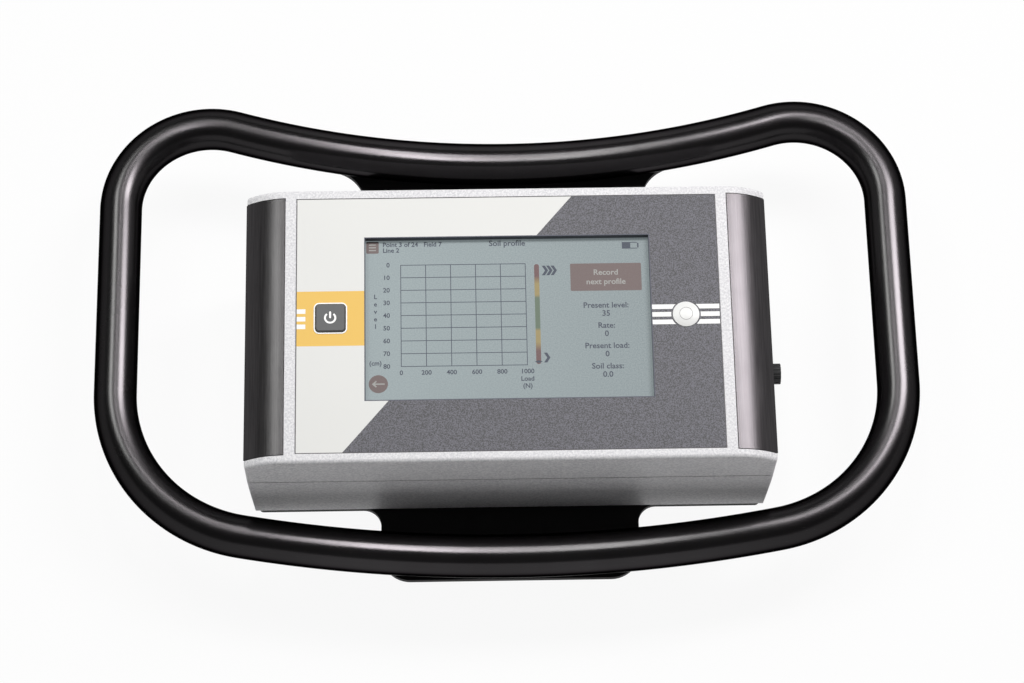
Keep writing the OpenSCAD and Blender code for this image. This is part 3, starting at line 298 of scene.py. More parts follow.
class Paint:
    """A material in the making: one method adds any node, the others name common uses of it."""

    def __init__(self, name):
        self.material = bpy.data.materials.new(name)
        self.material.use_nodes = True
        self.tree = self.material.node_tree
        self.shader = self.tree.nodes["Principled BSDF"]

    def node(self, kind, settings=None, sockets=None, output=0):
        """Adds a node with its settings and its sockets' values or links, and gives one output."""
        made = self.tree.nodes.new(kind)
        for key, value in (settings or {}).items():
            if key == "stops":
                self.set_stops(made.color_ramp, value)
            else:
                setattr(made, key, value)
        for key, value in (sockets or {}).items():
            self.feed(made.inputs[key], value)
        return Value(self, made.outputs[output])

    def set_stops(self, ramp, stops):
        """Gives a colour ramp its stops, each a place and a colour."""
        while len(ramp.elements) < len(stops):
            ramp.elements.new(1.0)
        for element, (place, tone) in zip(ramp.elements, stops):
            element.position = place
            element.color = (*tone, 1.0)

    def feed(self, socket, value):
        """Links a node's output to a socket, or sets a plain value on it."""
        if isinstance(value, Value):
            self.tree.links.new(value.socket, socket)
        elif hasattr(value, "__len__") and socket.type == "RGBA":
            socket.default_value = (*value[:3], 1.0)
        else:
            socket.default_value = value

    def point(self):
        """The place on the object, in the part's own frame."""
        return self.node("ShaderNodeTexCoord", output="Object")

    def axes(self):
        """That place as three numbers."""
        made = self.tree.nodes.new("ShaderNodeSeparateXYZ")
        self.feed(made.inputs[0], self.point())
        return [Value(self, socket) for socket in made.outputs]

    def noise(self, size, stretch=(1.0, 1.0, 1.0), detail=2.0, rough=0.5):
        """Cloudy noise from 0 to 1 with blots of about a size, longer along an axis of less stretch."""
        place = self.node("ShaderNodeMapping", {"vector_type": "POINT"}, {0: self.point(), 3: stretch})
        return self.node(
            "ShaderNodeTexNoise", None,
            {"Vector": place, "Scale": 1.0 / size, "Detail": detail, "Roughness": rough},
        )

    def mix(self, factor, first, second):
        """A colour between two, by a factor."""
        return self.node("ShaderNodeMix", {"data_type": "RGBA"}, {0: factor, 6: first, 7: second}, 2)

    def contrast(self, value, low, high):
        """A value stretched so that low becomes 0 and high becomes 1, and held there."""
        return self.node(
            "ShaderNodeMapRange", {"clamp": True}, {0: value, 1: low, 2: high, 3: 0.0, 4: 1.0}
        )

    def bump(self, height, depth, strength):
        """A normal that follows a height from 0 to 1 of some depth."""
        return self.node(
            "ShaderNodeBump", None, {"Strength": strength, "Distance": depth, "Height": height}
        )

    def finish(self, **sockets):
        """Sets the shader's sockets, named with spaces as underscores, and gives the material."""
        for key, value in sockets.items():
            self.feed(self.shader.inputs[key.replace("_", " ")], value)
        return self.material


def scaled(tone, factor):
    """A colour made darker or lighter by a factor, and no lighter than white."""
    return [min(1.0, factor * channel) for channel in tone]


def inside(value, low, high):
    """1 where a value lies between two limits, and 0 elsewhere."""
    return (value > low) * (value < high)


def cad_nodes(slot):
    """Names of the CAD objects that the record gives a material slot."""
    rows = frame["record"]["subparts"]
    return [row["node"] for row in rows if row["material_slot"] == slot]


def dress_node(name, material):
    """Gives one CAD object a material in place of any that it has."""
    obj = frame["nodes"][name]
    obj.data.materials.clear()
    obj.data.materials.append(material)
    obj["dressed"] = True


def dress(slot, material):
    """Gives every CAD object of a slot a material; a slot without one is an error."""
    found = cad_nodes(slot)
    if not found:
        raise RuntimeError(f"no CAD node has the slot {slot}")
    for name in found:
        dress_node(name, material)


def add_piece(name, vertices, faces, material, body=UNIT, smooth=False):
    """Makes a closed mesh piece that rides on a body, with its faces turned outwards."""
    mesh = bpy.data.meshes.new(name)
    mesh.from_pydata(np.asarray(vertices, float).tolist(), [], faces)
    work = bmesh.new()
    work.from_mesh(mesh)
    bmesh.ops.recalc_face_normals(work, faces=work.faces)
    work.to_mesh(mesh)
    work.free()
    mesh.polygons.foreach_set("use_smooth", np.full(len(mesh.polygons), smooth))
    mesh.materials.append(material)
    piece = bpy.data.objects.new(name, mesh)
    bpy.context.scene.collection.objects.link(piece)
    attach(piece, body)
    return piece


def ring_faces(rows, columns, close_rows=True):
    """Quads between the neighbours of a grid of points that closes on itself across its columns."""
    index = np.arange(rows * columns).reshape(rows, columns)
    if close_rows:
        index = np.vstack([index, index[:1]])
    index = np.hstack([index, index[:, :1]])
    quads = np.stack([index[:-1, :-1], index[1:, :-1], index[1:, 1:], index[:-1, 1:]], axis=-1)
    return quads.reshape(-1, 4).tolist()


class Shapes:
    """Flat shapes gathered into one mesh: each is an outline raised from a height by a thickness."""

    def __init__(self, base, thickness, weight=0.0):
        self.base = base
        self.thickness = thickness
        self.weight = weight
        self.vertices = []
        self.faces = []
        self.count = 0

    def add(self, points, faces):
        """Takes in a mesh's points and faces."""
        self.vertices.append(np.asarray(points, float))
        self.faces += [[i + self.count for i in face] for face in faces]
        self.count += len(points)

    def slab(self, outline):
        """An outline of x and y, closed by a cap below and one above."""
        outline = np.asarray(outline, float)
        count = len(outline)
        heights = np.repeat([self.base, self.base + self.thickness], count)
        points = np.column_stack([np.vstack([outline, outline]), heights])
        low = np.arange(count)
        sides = np.column_stack([low, np.roll(low, -1), np.roll(low, -1) + count, low + count])
        self.add(points, sides.tolist() + [low.tolist(), (low + count).tolist()])

    def box(self, x0, y0, x1, y1):
        """A rectangle between two corners."""
        self.slab([(x0, y0), (x1, y0), (x1, y1), (x0, y1)])

    def rounded(self, x0, y0, x1, y1, radius, steps=8):
        """A rectangle with round corners: a quarter circle about each corner's centre in turn."""
        turn = np.linspace(0, math.pi / 2, steps)
        centres = ((x1 - radius, y1 - radius), (x0 + radius, y1 - radius),
                   (x0 + radius, y0 + radius), (x1 - radius, y0 + radius))
        quarters = []
        for i, (x, y) in enumerate(centres):
            place = turn + i * math.pi / 2
            quarters.append(np.column_stack([x + radius * np.cos(place), y + radius * np.sin(place)]))
        self.slab(np.vstack(quarters))

    def disc(self, x, y, radius, steps=48):
        """A circle about a centre."""
        turn = np.linspace(0, 2 * math.pi, steps, endpoint=False)
        self.slab(np.column_stack([x + radius * np.cos(turn), y + radius * np.sin(turn)]))

    def arc_band(self, x, y, radius, width, start, stop, steps=40):
        """A band along an arc: the outer edge one way and the inner edge back."""
        turn = np.linspace(start, stop, steps)
        outer = np.column_stack([np.cos(turn), np.sin(turn)]) * (radius + width / 2)
        inner = np.column_stack([np.cos(turn), np.sin(turn)])[::-1] * (radius - width / 2)
        self.slab(np.vstack([outer, inner]) + (x, y))

    def words(self, text, x, y, height, align="CENTER"):
        """Plain lettering whose capitals are about a height, its line through a point."""
        curve = bpy.data.curves.new("lettering", "FONT")
        curve.body = text
        curve.size = height / CAPITALS
        curve.align_x = align
        curve.align_y = "CENTER"
        curve.extrude = self.thickness / 2
        curve.offset = self.weight
        curve.resolution_u = 3
        holder = bpy.data.objects.new("lettering", curve)
        bpy.context.scene.collection.objects.link(holder)
        bpy.context.view_layer.update()
        solid = holder.evaluated_get(bpy.context.evaluated_depsgraph_get())
        mesh = bpy.data.meshes.new_from_object(solid)
        points = np.zeros(len(mesh.vertices) * 3)
        mesh.vertices.foreach_get("co", points)
        points = points.reshape(-1, 3) + (x, y, self.base + self.thickness / 2)
        self.add(points, [list(polygon.vertices) for polygon in mesh.polygons])
        bpy.data.objects.remove(holder)
        bpy.data.curves.remove(curve)
        bpy.data.meshes.remove(mesh)

    def piece(self, name, material, slot, body=UNIT):
        """One piece of all the shapes."""
        return add_piece(name, np.vstack(self.vertices), self.faces, material, body)


def arc(x, y, radius, start, stop, step):
    """Points on a circle about a centre, from one angle up to another, about a step apart."""
    count = max(2, math.ceil(abs(stop - start) * radius / step))
    turn = np.linspace(start, stop, count, endpoint=False)
    return np.column_stack([x + radius * np.cos(turn), y + radius * np.sin(turn)])


def handle_path(look):
    """The loop's centre line as points of x and y, clockwise from the middle of the far bar.

    Each half is an outward-hollow arc, a corner arc, a straight, a corner arc and an inward-hollow arc.
    Neighbours are tangent: the corner's centre lies on the line from the bar's centre to the joint.
    """
    half_span = grip_high.x - tube_r
    far_arc_y = far_low.y + tube_r + look.far_bow
    near_arc_y = near_low.y + tube_r + look.near_bow
    far_x = half_span - look.far_corner
    near_x = half_span - look.near_corner
    far_y = far_arc_y - math.sqrt((look.far_bow + look.far_corner) ** 2 - far_x ** 2)
    near_y = near_arc_y - math.sqrt((look.near_bow - look.near_corner) ** 2 - near_x ** 2)
    far_angle = math.atan2(far_y - far_arc_y, far_x)
    near_angle = math.atan2(near_y - near_arc_y, near_x)
    straight = np.linspace(far_y, near_y, math.ceil((far_y - near_y) / look.ring_step), endpoint=False)
    right = np.vstack([
        arc(0, far_arc_y, look.far_bow, -math.pi / 2, far_angle, look.ring_step),
        arc(far_x, far_y, look.far_corner, far_angle + math.pi, 0, look.ring_step),
        np.column_stack([np.full(len(straight), half_span), straight]),
        arc(near_x, near_y, look.near_corner, 0, near_angle, look.ring_step),
        arc(0, near_arc_y, look.near_bow, near_angle, -math.pi / 2, look.ring_step),
        [(0, near_arc_y - look.near_bow)],
    ])
    left = right[1:-1][::-1] * (-1, 1)
    return np.vstack([right, left])


def tube_points(path, height, radius, sides=48):
    """A round tube: a circle across each point of a level path, cosine sideways and sine upwards."""
    along = np.roll(path, -1, axis=0) - np.roll(path, 1, axis=0)
    along /= np.linalg.norm(along, axis=1, keepdims=True)
    across = np.column_stack([-along[:, 1], along[:, 0]])
    turn = np.linspace(0, 2 * math.pi, sides, endpoint=False)
    points = np.empty((len(path), sides, 3))
    points[..., :2] = path[:, None, :] + radius * np.cos(turn)[None, :, None] * across[:, None, :]
    points[..., 2] = height + radius * np.sin(turn)
    return points


def torus_points(x, y, z, radius, thickness, around=64, across=10):
    """A ring of round section: a small circle carried round a large one."""
    turn = np.linspace(0, 2 * math.pi, around, endpoint=False)[:, None]
    small = np.linspace(0, 2 * math.pi, across, endpoint=False)[None, :]
    reach = radius + thickness / 2 * np.cos(small)
    rise = thickness / 2 * np.sin(small) + 0 * turn
    return np.stack([x + reach * np.cos(turn), y + reach * np.sin(turn), z + rise], axis=-1)


def turned_points(profile, x, y, z, around=48):
    """Rings of a turned shape: each (radius, height) of its profile carried round a vertical axis."""
    turn = np.linspace(0, 2 * math.pi, around, endpoint=False)
    rings = [(x + r * np.cos(turn), y + r * np.sin(turn), z + h + 0 * turn) for r, h in profile]
    return np.stack(rings).transpose(0, 2, 1)


def black_paint(look):
    """Satin black paint: all gloss, with faint orange peel, rougher on the two sides where hands hold it,
    and with painted shade there that dims their highlights.
    """
    paint = Paint("satin_black_paint")
    drift, haze, peel_depth = 0.15, 0.04, 0.02 * MM
    cloud = paint.noise(30 * MM, detail=3.0)
    peel = paint.noise(1 * MM, detail=1.0)
    x, _, _ = paint.axes()
    # held marks the two sides: it makes them rougher, and darkens their gloss colour as painted shade.
    held = paint.contrast(abs(x), look.grip_from, look.grip_to)
    tone = paint.mix(cloud, scaled(look.paint, 1 - drift), scaled(look.paint, 1 + drift))
    tone = paint.mix(held, tone, scaled(look.paint, look.side_shade))
    return paint.finish(
        Base_Color=tone,
        Metallic=1.0,
        Specular_Tint=(look.edge, look.edge, look.edge),
        Roughness=(look.worn - look.roughness) * held + haze * cloud + (look.roughness - haze / 2),
        Normal=paint.bump(peel, peel_depth, strength=0.5),
    )


def powder_coat(name, base, speck, roughness, grain):
    """A textured powder coat: fine specks of a second tone on small bumps."""
    paint = Paint(name)
    haze, depth = 0.14, 0.10 * grain
    fine = paint.noise(grain, detail=3.0, rough=0.65)
    wide = paint.noise(20 * MM)
    tone = paint.mix(paint.contrast(fine, 0.40, 0.62), speck, base)
    shade = paint.mix(wide, tone, paint.mix(0.5, tone, base))
    return paint.finish(
        Base_Color=shade,
        Roughness=roughness + haze * fine,
        Normal=paint.bump(fine, depth, strength=0.6),
    )


def brushed_metal(name, base, streak, roughness, stretch, metallic=1.0):
    """Metal brushed one way: long thin streaks of two tones that also roughen it."""
    paint = Paint(name)
    line_haze, cloud_haze, depth = 0.16, 0.04, 0.04 * MM
    lines = paint.noise(0.8 * MM, stretch, detail=4.0, rough=0.7)
    clouds = paint.noise(15 * MM)
    return paint.finish(
        Base_Color=paint.mix(paint.contrast(lines, 0.35, 0.68), base, streak),
        Metallic=metallic,
        Roughness=roughness + line_haze * lines + cloud_haze * clouds,
        Normal=paint.bump(lines, depth, strength=0.35),
    )


def moulded(name, base, roughness, grain=0.6 * MM, variation=0.18, depth=0.03 * MM, **constants):
    """Moulded plastic or rubber: a fine grain, and a tone that drifts."""
    paint = Paint(name)
    haze = 0.12
    fine = paint.noise(grain)
    drift = paint.noise(12 * MM)
    return paint.finish(
        Base_Color=paint.mix(drift, scaled(base, 1 - variation), scaled(base, 1 + variation)),
        Roughness=roughness - haze / 2 + haze * fine,
        Normal=paint.bump(fine, depth, strength=0.5),
        **constants,
    )


def overlay_film(look, border):
    """The printed film: a pale, a dark and an accent field, plain stripes, a printed line round the
    window, and a painted shadow along its edges.
    """
    paint = Paint("printed_overlay")
    roughness, haze, fading, depth = 0.40, 0.12, 0.975, 0.02 * MM
    x, y, _ = paint.axes()
    y = y - face_middle.y
    half_w = (face_high.x - face_low.x) / 2
    half_d = (face_high.y - face_low.y) / 2
    grain = paint.noise(look.grain)
    drift = paint.noise(50 * MM)
    dots = paint.contrast(grain, 0.40, 0.60)
    dark_tone = paint.mix(dots, scaled(look.dark, 1 - look.speckle), scaled(look.dark, 1 + look.speckle))
    pale_tone = paint.mix(drift, scaled(look.pale, fading), look.pale)
    tone = paint.mix(x > (y * look.split_slope + look.split_x), pale_tone, dark_tone)
    accent = inside(y, look.accent_near, look.accent_far) * (x < look.accent_right)
    tone = paint.mix(accent, tone, look.accent)
    left = x < (look.stripe_short - half_w)
    level_x = x - level_middle.x
    level_y = y - (level_middle.y - face_middle.y)
    right = (x > 0.0) * ((level_x * level_x + level_y * level_y) > look.level_ring ** 2)
    for step in (-1, 0, 1):
        middle = look.stripe_middle + step * look.stripe_pitch
        stripe = inside(y, middle - look.stripe_width / 2, middle + look.stripe_width / 2)
        tone = paint.mix(stripe * (left + right), tone, look.stripe)
    # Painted shadow along the film's edges, in place of the shade in the gap round it.
    edge = (abs(x) > (half_w - look.outline)) + (abs(y) > (half_d - look.long_edge_shadow))
    tone = paint.mix(paint.contrast(edge, 0.0, 1.0), tone, look.edge_shadow_tone)
    reach = border - look.window_line
    window = inside(x, glass_low.x + reach, glass_high.x - reach)
    window = window * inside(y, glass_low.y + reach - face_middle.y, glass_high.y - reach - face_middle.y)
    tone = paint.mix(window, tone, look.window_tone)
    return paint.finish(
        Base_Color=tone,
        Roughness=roughness + haze * grain,
        Normal=paint.bump(grain, depth, strength=0.4),
    )


def glazed(paint, tone, sparkle, **constants):
    """A colour seen through the screen's anti-glare glass: half matt, and little mirrored."""
    roughness, haze = 0.42, 0.10
    return paint.finish(
        Base_Color=tone, Roughness=roughness + haze * sparkle, Specular_IOR_Level=0.25, **constants
    )


def screen_paper(look):
    """The lit screen under its anti-glare glass: a fine sparkle and a slow change of tone across it."""
    paint = Paint("screen_paper")
    left_gain, light_gain = 1.42, 1.35
    dark_share, light_share, cloud_share = 0.22, 0.42, 0.3
    x, _, _ = paint.axes()
    sparkle = paint.noise(0.8 * MM)
    cloud = paint.noise(60 * MM)
    across = paint.contrast(x, glass_low.x, glass_high.x)
    base = paint.mix(across, scaled(look.paper, left_gain), look.paper)
    dark = paint.mix(dark_share, base, look.ink)
    light = paint.mix(light_share, base, scaled(look.paper, light_gain))
    grained = paint.mix(paint.contrast(sparkle, 0.36, 0.64), dark, light)
    tone = paint.mix(cloud, grained, paint.mix(cloud_share, grained, look.paper))
    return glazed(paint, tone, sparkle, Emission_Color=tone, Emission_Strength=look.glow)


def screen_ink(name, tone):
    """A colour of the screen's image, with a sparkle over it as over the screen."""
    paint = Paint(name)
    veil, veil_share = 0.30, 0.15
    sparkle = paint.noise(0.5 * MM)
    veiled = [(1 - veil_share) * channel + veil_share * veil for channel in tone]
    return glazed(paint, paint.mix(paint.contrast(sparkle, 0.35, 0.75), tone, veiled), sparkle)


def speed_colours(look, far, near):
    """The speed bar: red at both ends, through yellow, to green at its middle."""
    paint = Paint("screen_speed_bar")
    veil, veil_share = (0.3, 0.32, 0.30), 0.20
    _, y, _ = paint.axes()
    red, yellow, green = look.bar_end, look.bar_between, look.bar_middle
    stops = [(0.0, red), (0.13, red), (0.22, yellow), (0.33, yellow), (0.36, green),
             (0.66, green), (0.69, yellow), (0.80, yellow), (0.88, red), (1.0, red)]
    tone = paint.node("ShaderNodeValToRGB", {"stops": stops}, {0: paint.contrast(y, near, far)})
    sparkle = paint.noise(0.6 * MM)
    veiled = paint.mix(veil_share, tone, veil)
    return glazed(paint, paint.mix(paint.contrast(sparkle, 0.3, 0.8), tone, veiled), sparkle)


def clear(name, tone, roughness):
    """Clear plastic or liquid: light goes through, with the faintest haze."""
    paint = Paint(name)
    haze = 0.03
    return paint.finish(
        Base_Color=tone,
        Roughness=roughness + haze * paint.noise(2 * MM),
        Transmission_Weight=1.0,
        IOR=1.45,
    )


def circuit_board():
    """A circuit board: green mask over a grid of tracks, which show lighter through it."""
    paint = Paint("circuit_board")
    mask, track = (0.020, 0.130, 0.050), (0.035, 0.20, 0.075)
    pitch, track_w = 2.5 * MM, 0.625 * MM
    roughness, haze = 0.42, 0.10
    x, y, _ = paint.axes()
    blots = paint.noise(4 * MM)
    lines_x, lines_y = [
        paint.node("ShaderNodeMath", {"operation": "PINGPONG"}, {0: place, 1: pitch}) < track_w
        for place in (x, y)
    ]
    tracks = lines_x * (blots > 0.5) + lines_y * (blots < 0.5)
    return paint.finish(
        Base_Color=paint.mix(tracks, mask, track),
        Roughness=roughness - haze * blots,
        Coat_Weight=0.3,
    )


class PENETROMETER_OT_handle(bpy.types.Operator):
    """Makes the painted handle loop in one unbroken length, and paints the carrier plate"""

    bl_idname = "penetrometer.handle"
    bl_label = "Handle loop"

    def execute(self, context):
        look = context.scene.penetrometer_handle
        black = black_paint(look)
        rings = tube_points(handle_path(look), tube_z, tube_r)
        faces = ring_faces(*rings.shape[:2])
        loop = add_piece("handle_loop", rings.reshape(-1, 3), faces, black, smooth=True)
        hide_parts("far_bar", "near_bar", "left_grip", "right_grip")
        dress("handle_paint", black)
        plate = moulded("matt_black_paint", look.plate, roughness=0.58, Specular_IOR_Level=0.15)
        dress("plate_paint", plate)
        return {"FINISHED"}


class PENETROMETER_OT_case(bpy.types.Operator):
    """Finishes the case's powder coat, its seals and the brushed end trims"""

    bl_idname = "penetrometer.case"
    bl_label = "Case and trims"

    def execute(self, context):
        look = context.scene.penetrometer_case
        coat = powder_coat("silver_white_coat", look.paint, look.speck, roughness=0.42, grain=1.3 * MM)
        dress("case_paint", coat)
        dress("trim_metal", brushed_metal(
            "dark_trim", look.trim, look.trim_streak, roughness=0.22, stretch=(1.0, 0.02, 1.0)
        ))
        dress("rubber", moulded("black_rubber", look.rubber, roughness=0.66))
        dress_node("screen_gasket", moulded("grey_rubber", look.gasket, roughness=0.60))
        return {"FINISHED"}


class PENETROMETER_OT_overlay(bpy.types.Operator):
    """Prints the overlay on the face"""

    bl_idname = "penetrometer.overlay"
    bl_label = "Front overlay"

    def execute(self, context):
        border = context.scene.penetrometer_screen.border
        dress("overlay_print", overlay_film(context.scene.penetrometer_face, border))
        return {"FINISHED"}


class PENETROMETER_OT_screen(bpy.types.Operator):
    """Lights the screen and draws a plain chart, readouts and keys on it"""

    bl_idname = "penetrometer.screen"
    bl_label = "Screen"

    def execute(self, context):
        look = context.scene.penetrometer_screen
        dress("screen_glass", screen_paper(look))
        dress("display", moulded("display_body", look.body, roughness=0.45))
        left = glass_low.x + look.border
        far = glass_high.y - look.border
        top = glass_high.z
        ink = Shapes(top, look.ink_height, look.weight)
        self.draw_chart(ink, look, left, far)
        self.draw_readouts(ink, look, left, far)
        ink.piece("screen_lines", screen_ink("screen_ink", look.ink), "display")
        self.draw_keys(look, left, far, top)
        self.draw_speed_bar(look, left, far, top)
        return {"FINISHED"}

    def draw_chart(self, ink, look, left, far):
        """Five columns and eight rows of lines, with plain numbers and words along two sides."""
        columns, rows = 5, 8
        column_value, row_value = 200, 10
        row_gap, column_gap = 6.7 * MM, 4.2 * MM
        letter_x, letter_y, letter_step = left + 6.1 * MM, far - 37.4 * MM, 4.9 * MM
        x = left + np.linspace(look.chart_left, look.chart_right, columns + 1)
        y = far - np.linspace(look.chart_far, look.chart_near, rows + 1)
        half = look.line / 2
        for place in x:
            ink.box(place - half, y[-1] - half, place + half, y[0] + half)
        for place in y:
            for start, stop in zip(x[:-1] + half, x[1:] - half):
                ink.box(start, place - half, stop, place + half)
        for i, place in enumerate(y):
            ink.words(str(row_value * i), x[0] - row_gap, place, look.number, "RIGHT")
        for i, place in enumerate(x):
            ink.words(str(column_value * i), place, y[-1] - column_gap, look.number)
        for i, letter in enumerate("Level"):
            ink.words(letter, letter_x, letter_y - i * letter_step, look.number)
        units = (
            ("(cm)", left + 6.0 * MM, far - 81.0 * MM),
            ("Load", x[-1], y[-1] - 9.0 * MM),
            ("(N)", x[-1], y[-1] - 13.6 * MM),
        )
        for text, place_x, place_y in units:
            ink.words(text, place_x, place_y, look.number)

    def draw_readouts(self, ink, look, left, far):
        """Four words with a number under each, a heading, a sign for the charge and two for the speed."""
        x = left + look.readout_x
        rows = (("Present level:", "35"), ("Rate:", "0"), ("Present load:", "0"), ("Soil class:", "0.0"))
        for i, (word, number) in enumerate(rows):
            y = far - look.readout_y - i * look.readout_step
            ink.words(word, x, y, look.word)
            ink.words(number, x, y - look.readout_drop, look.word)
        headings = (
            ("Soil profile", 87.0, 2.8, look.word, "CENTER"),
            ("Point 3 of 24   Field 7", 10.6, 2.9, look.number, "LEFT"),
            ("Line 2", 10.6, 6.7, look.number, "LEFT"),
        )
        for text, across, down, height, align in headings:
            ink.words(text, left + across * MM, far - down * MM, height, align)
        self.draw_charge(ink, left + 157.6 * MM, far - 7.3 * MM)
        chevron_x = left + look.bar_x + 3.2 * MM
        for down, count in ((21.2, 3), (78.6, 1)):
            self.draw_chevrons(ink, chevron_x, far - down * MM, count)

    def draw_charge(self, ink, x, y):
        """A lying cell from its near left corner: a filled part, two sides of the rest, and a knob."""
        filled, shell, knob = x + 5.2 * MM, x + 9.4 * MM, x + 10.3 * MM
        height, wall, inset = 4.4 * MM, 0.5 * MM, 0.7 * MM
        ink.box(x, y, filled, y + height)
        ink.box(filled, y, shell, y + wall)
        ink.box(filled, y + height - wall, shell, y + height)
        ink.box(shell, y + inset, knob, y + height - inset)

    def draw_chevrons(self, ink, x, y, count):
        """Arrow heads in a row, each a bent band: more of them for a higher speed."""
        pitch = 2.7 * MM
        outline = np.array([(0, 3.2), (1.9, 3.2), (3.9, 0), (1.9, -3.2), (0, -3.2), (2.0, 0)]) * MM
        for i in range(count):
            ink.slab(outline + (x + i * pitch, y))

    def draw_keys(self, look, left, far, top):
        """A wide key, a square one and a round one, with plain marks on them."""
        keys = Shapes(top, look.ink_height)
        corner, round_r = 0.8 * MM, 5.8 * MM
        for start, near, stop, back in ((125.4, 35.1, 168.9, 16.9), (0.5, 8.5, 8.2, 0.6)):
            keys.rounded(left + start * MM, far - near * MM, left + stop * MM, far - back * MM, corner)
        round_x, round_y = left + 7.7 * MM, far - 94.4 * MM
        keys.disc(round_x, round_y, round_r)
        keys.piece("screen_keys", screen_ink("screen_key", look.key), "display")
        marks = Shapes(top + 0.5 * look.ink_height, look.ink_height, look.weight)
        for text, down in (("Record", 23.0), ("next profile", 29.2)):
            marks.words(text, left + 147.1 * MM, far - down * MM, look.word)
        line_start, line_stop, line_half = left + 2.2 * MM, left + 6.5 * MM, 0.35 * MM
        for down in (6.4, 4.55, 2.7):
            y = far - down * MM
            marks.box(line_start, y - line_half, line_stop, y + line_half)
        arrow = np.array([(-3.9, 0), (-1.5, 2.2), (-0.9, 1.6), (-2.1, 0.42), (3.8, 0.42),
                          (3.8, -0.42), (-2.1, -0.42), (-0.9, -1.6), (-1.5, -2.2)]) * MM
        marks.slab(arrow + (round_x, round_y))
        marks.piece("screen_key_marks", screen_ink("screen_key_mark", look.key_mark), "display")

    def draw_speed_bar(self, look, left, far, top):
        """A bar with round ends beside the chart, and a pointer across it."""
        x = left + look.bar_x
        near_end, far_end = far - look.bar_near, far - look.bar_far
        half, roundness = look.bar_width / 2, 0.98
        bar = Shapes(top, look.ink_height)
        bar.rounded(x - half, near_end, x + half, far_end, half * roundness)
        bar.piece("screen_speed_bar", speed_colours(look, far_end, near_end), "display")
        pointer_y = near_end + 1.6 * MM
        pointer = Shapes(top + 0.5 * look.ink_height, look.ink_height)
        pointer.slab(np.array([(-2.4, 0), (0, 0.9), (2.4, 0), (0, -0.9)]) * MM + (x, pointer_y))
        pointer.piece("screen_pointer", screen_ink("screen_pointer_ink", look.ink), "display")


class PENETROMETER_OT_button(bpy.types.Operator):
    """Finishes the power button and its frame, and makes its sign and the dome under it"""

    bl_idname = "penetrometer.button"
    bl_label = "Power button"

    def execute(self, context):
        cap = moulded("button_plastic", (0.070, 0.073, 0.076), roughness=0.46, grain=0.5 * MM)
        dress("button_plastic", cap)
        white = moulded("bezel_plastic", (0.86, 0.86, 0.85), roughness=0.30, variation=0.03)
        dress("bezel_plastic", white)
        silicone = moulded("pale_silicone", (0.60, 0.60, 0.56), roughness=0.55)
        dress("silicone", silicone)
        self.make_dome(silicone)
        self.make_sign(white)
        return {"FINISHED"}

    def make_dome(self, silicone):
        """A hollow turned dome, from crown to foot and back inside."""
        crown, wall, spare = 2.4 * MM, 0.6 * MM, 0.05 * MM
        low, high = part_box("button_dome")
        middle = (low + high) / 2
        height = high.z - low.z
        foot = (high.x - low.x) / 2
        outer = [(crown, height), (foot, wall), (foot, 0.0)]
        inner = [(foot - wall, 0.0), (crown - wall, height - wall)]
        rings = turned_points(outer + inner, middle.x, middle.y, low.z)
        rows, around = rings.shape[:2]
        faces = ring_faces(rows, around, close_rows=False)
        faces += [list(range(around)), list(range((rows - 1) * around, rows * around))]
        dome = add_piece("flexing_dome", rings.reshape(-1, 3), faces, silicone)
        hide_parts("button_dome")
        joints = frame["record"]["behaviour"]["joints"]
        travel = [joint["range_m"][1] for joint in joints if joint["name"] == PRESS][0]
        kept = 1 - (travel + spare) / height
        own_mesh(dome)

    def make_sign(self, white):
        """The power sign: a ring with a gap at its far side, and a stroke with round ends in the gap."""
        clearance, thickness = 0.005 * MM, 0.05 * MM
        aside, nearer = 0.1 * MM, 0.3 * MM
        ring_r, ring_w, gap = 3.15 * MM, 1.15 * MM, math.radians(38)
        half_w, near_end, far_end, corner = 0.6 * MM, 0.2 * MM, 4.2 * MM, 0.5 * MM
        x, y = cap_middle.x - aside, cap_middle.y - nearer
        sign = Shapes(cap_high.z + clearance, thickness)
        sign.arc_band(x, y, ring_r, ring_w, math.pi / 2 + gap, 2.5 * math.pi - gap)
        sign.rounded(x - half_w, y - near_end, x + half_w, y + far_end, corner)
        sign.piece("power_sign", white, "bezel_plastic", BUTTON)


class PENETROMETER_OT_level(bpy.types.Operator):
    """Finishes the spirit level: its white cup, the milky lens and the circle on it"""

    bl_idname = "penetrometer.level"
    bl_label = "Spirit level"

    def execute(self, context):
        dress("level_plastic", moulded("level_white", (0.80, 0.80, 0.79), roughness=0.40, variation=0.02))
        dress("level_glass", moulded(
            "level_milky", (0.82, 0.82, 0.81), roughness=0.38, variation=0.02, depth=0.004 * MM
        ))
        dress("level_liquid", clear("level_liquid", (0.95, 0.97, 0.94), roughness=0.02))
        circle_r, line_w, sunk = 3.95 * MM, 0.30 * MM, 0.30 * MM
        rings = torus_points(level_middle.x, level_middle.y, lens_high.z - sunk, circle_r, line_w)
        faces = ring_faces(*rings.shape[:2])
        mark = moulded("level_mark", (0.30, 0.29, 0.29), roughness=0.5)
        add_piece("level_circle", rings.reshape(-1, 3), faces, mark, smooth=True)
        return {"FINISHED"}


class PENETROMETER_OT_port(bpy.types.Operator):
    """Finishes the port, its cap and the pieces that hold it"""

    bl_idname = "penetrometer.port"
    bl_label = "Port"

    def execute(self, context):
        dress("cap_plastic", moulded("black_cap", (0.006, 0.006, 0.0065), roughness=0.60))
        dress("port_metal", brushed_metal(
            "black_nickel", (0.06, 0.06, 0.065), (0.12, 0.12, 0.125),
            roughness=0.25, stretch=(0.05, 1.0, 1.0), metallic=0.9,
        ))
        return {"FINISHED"}


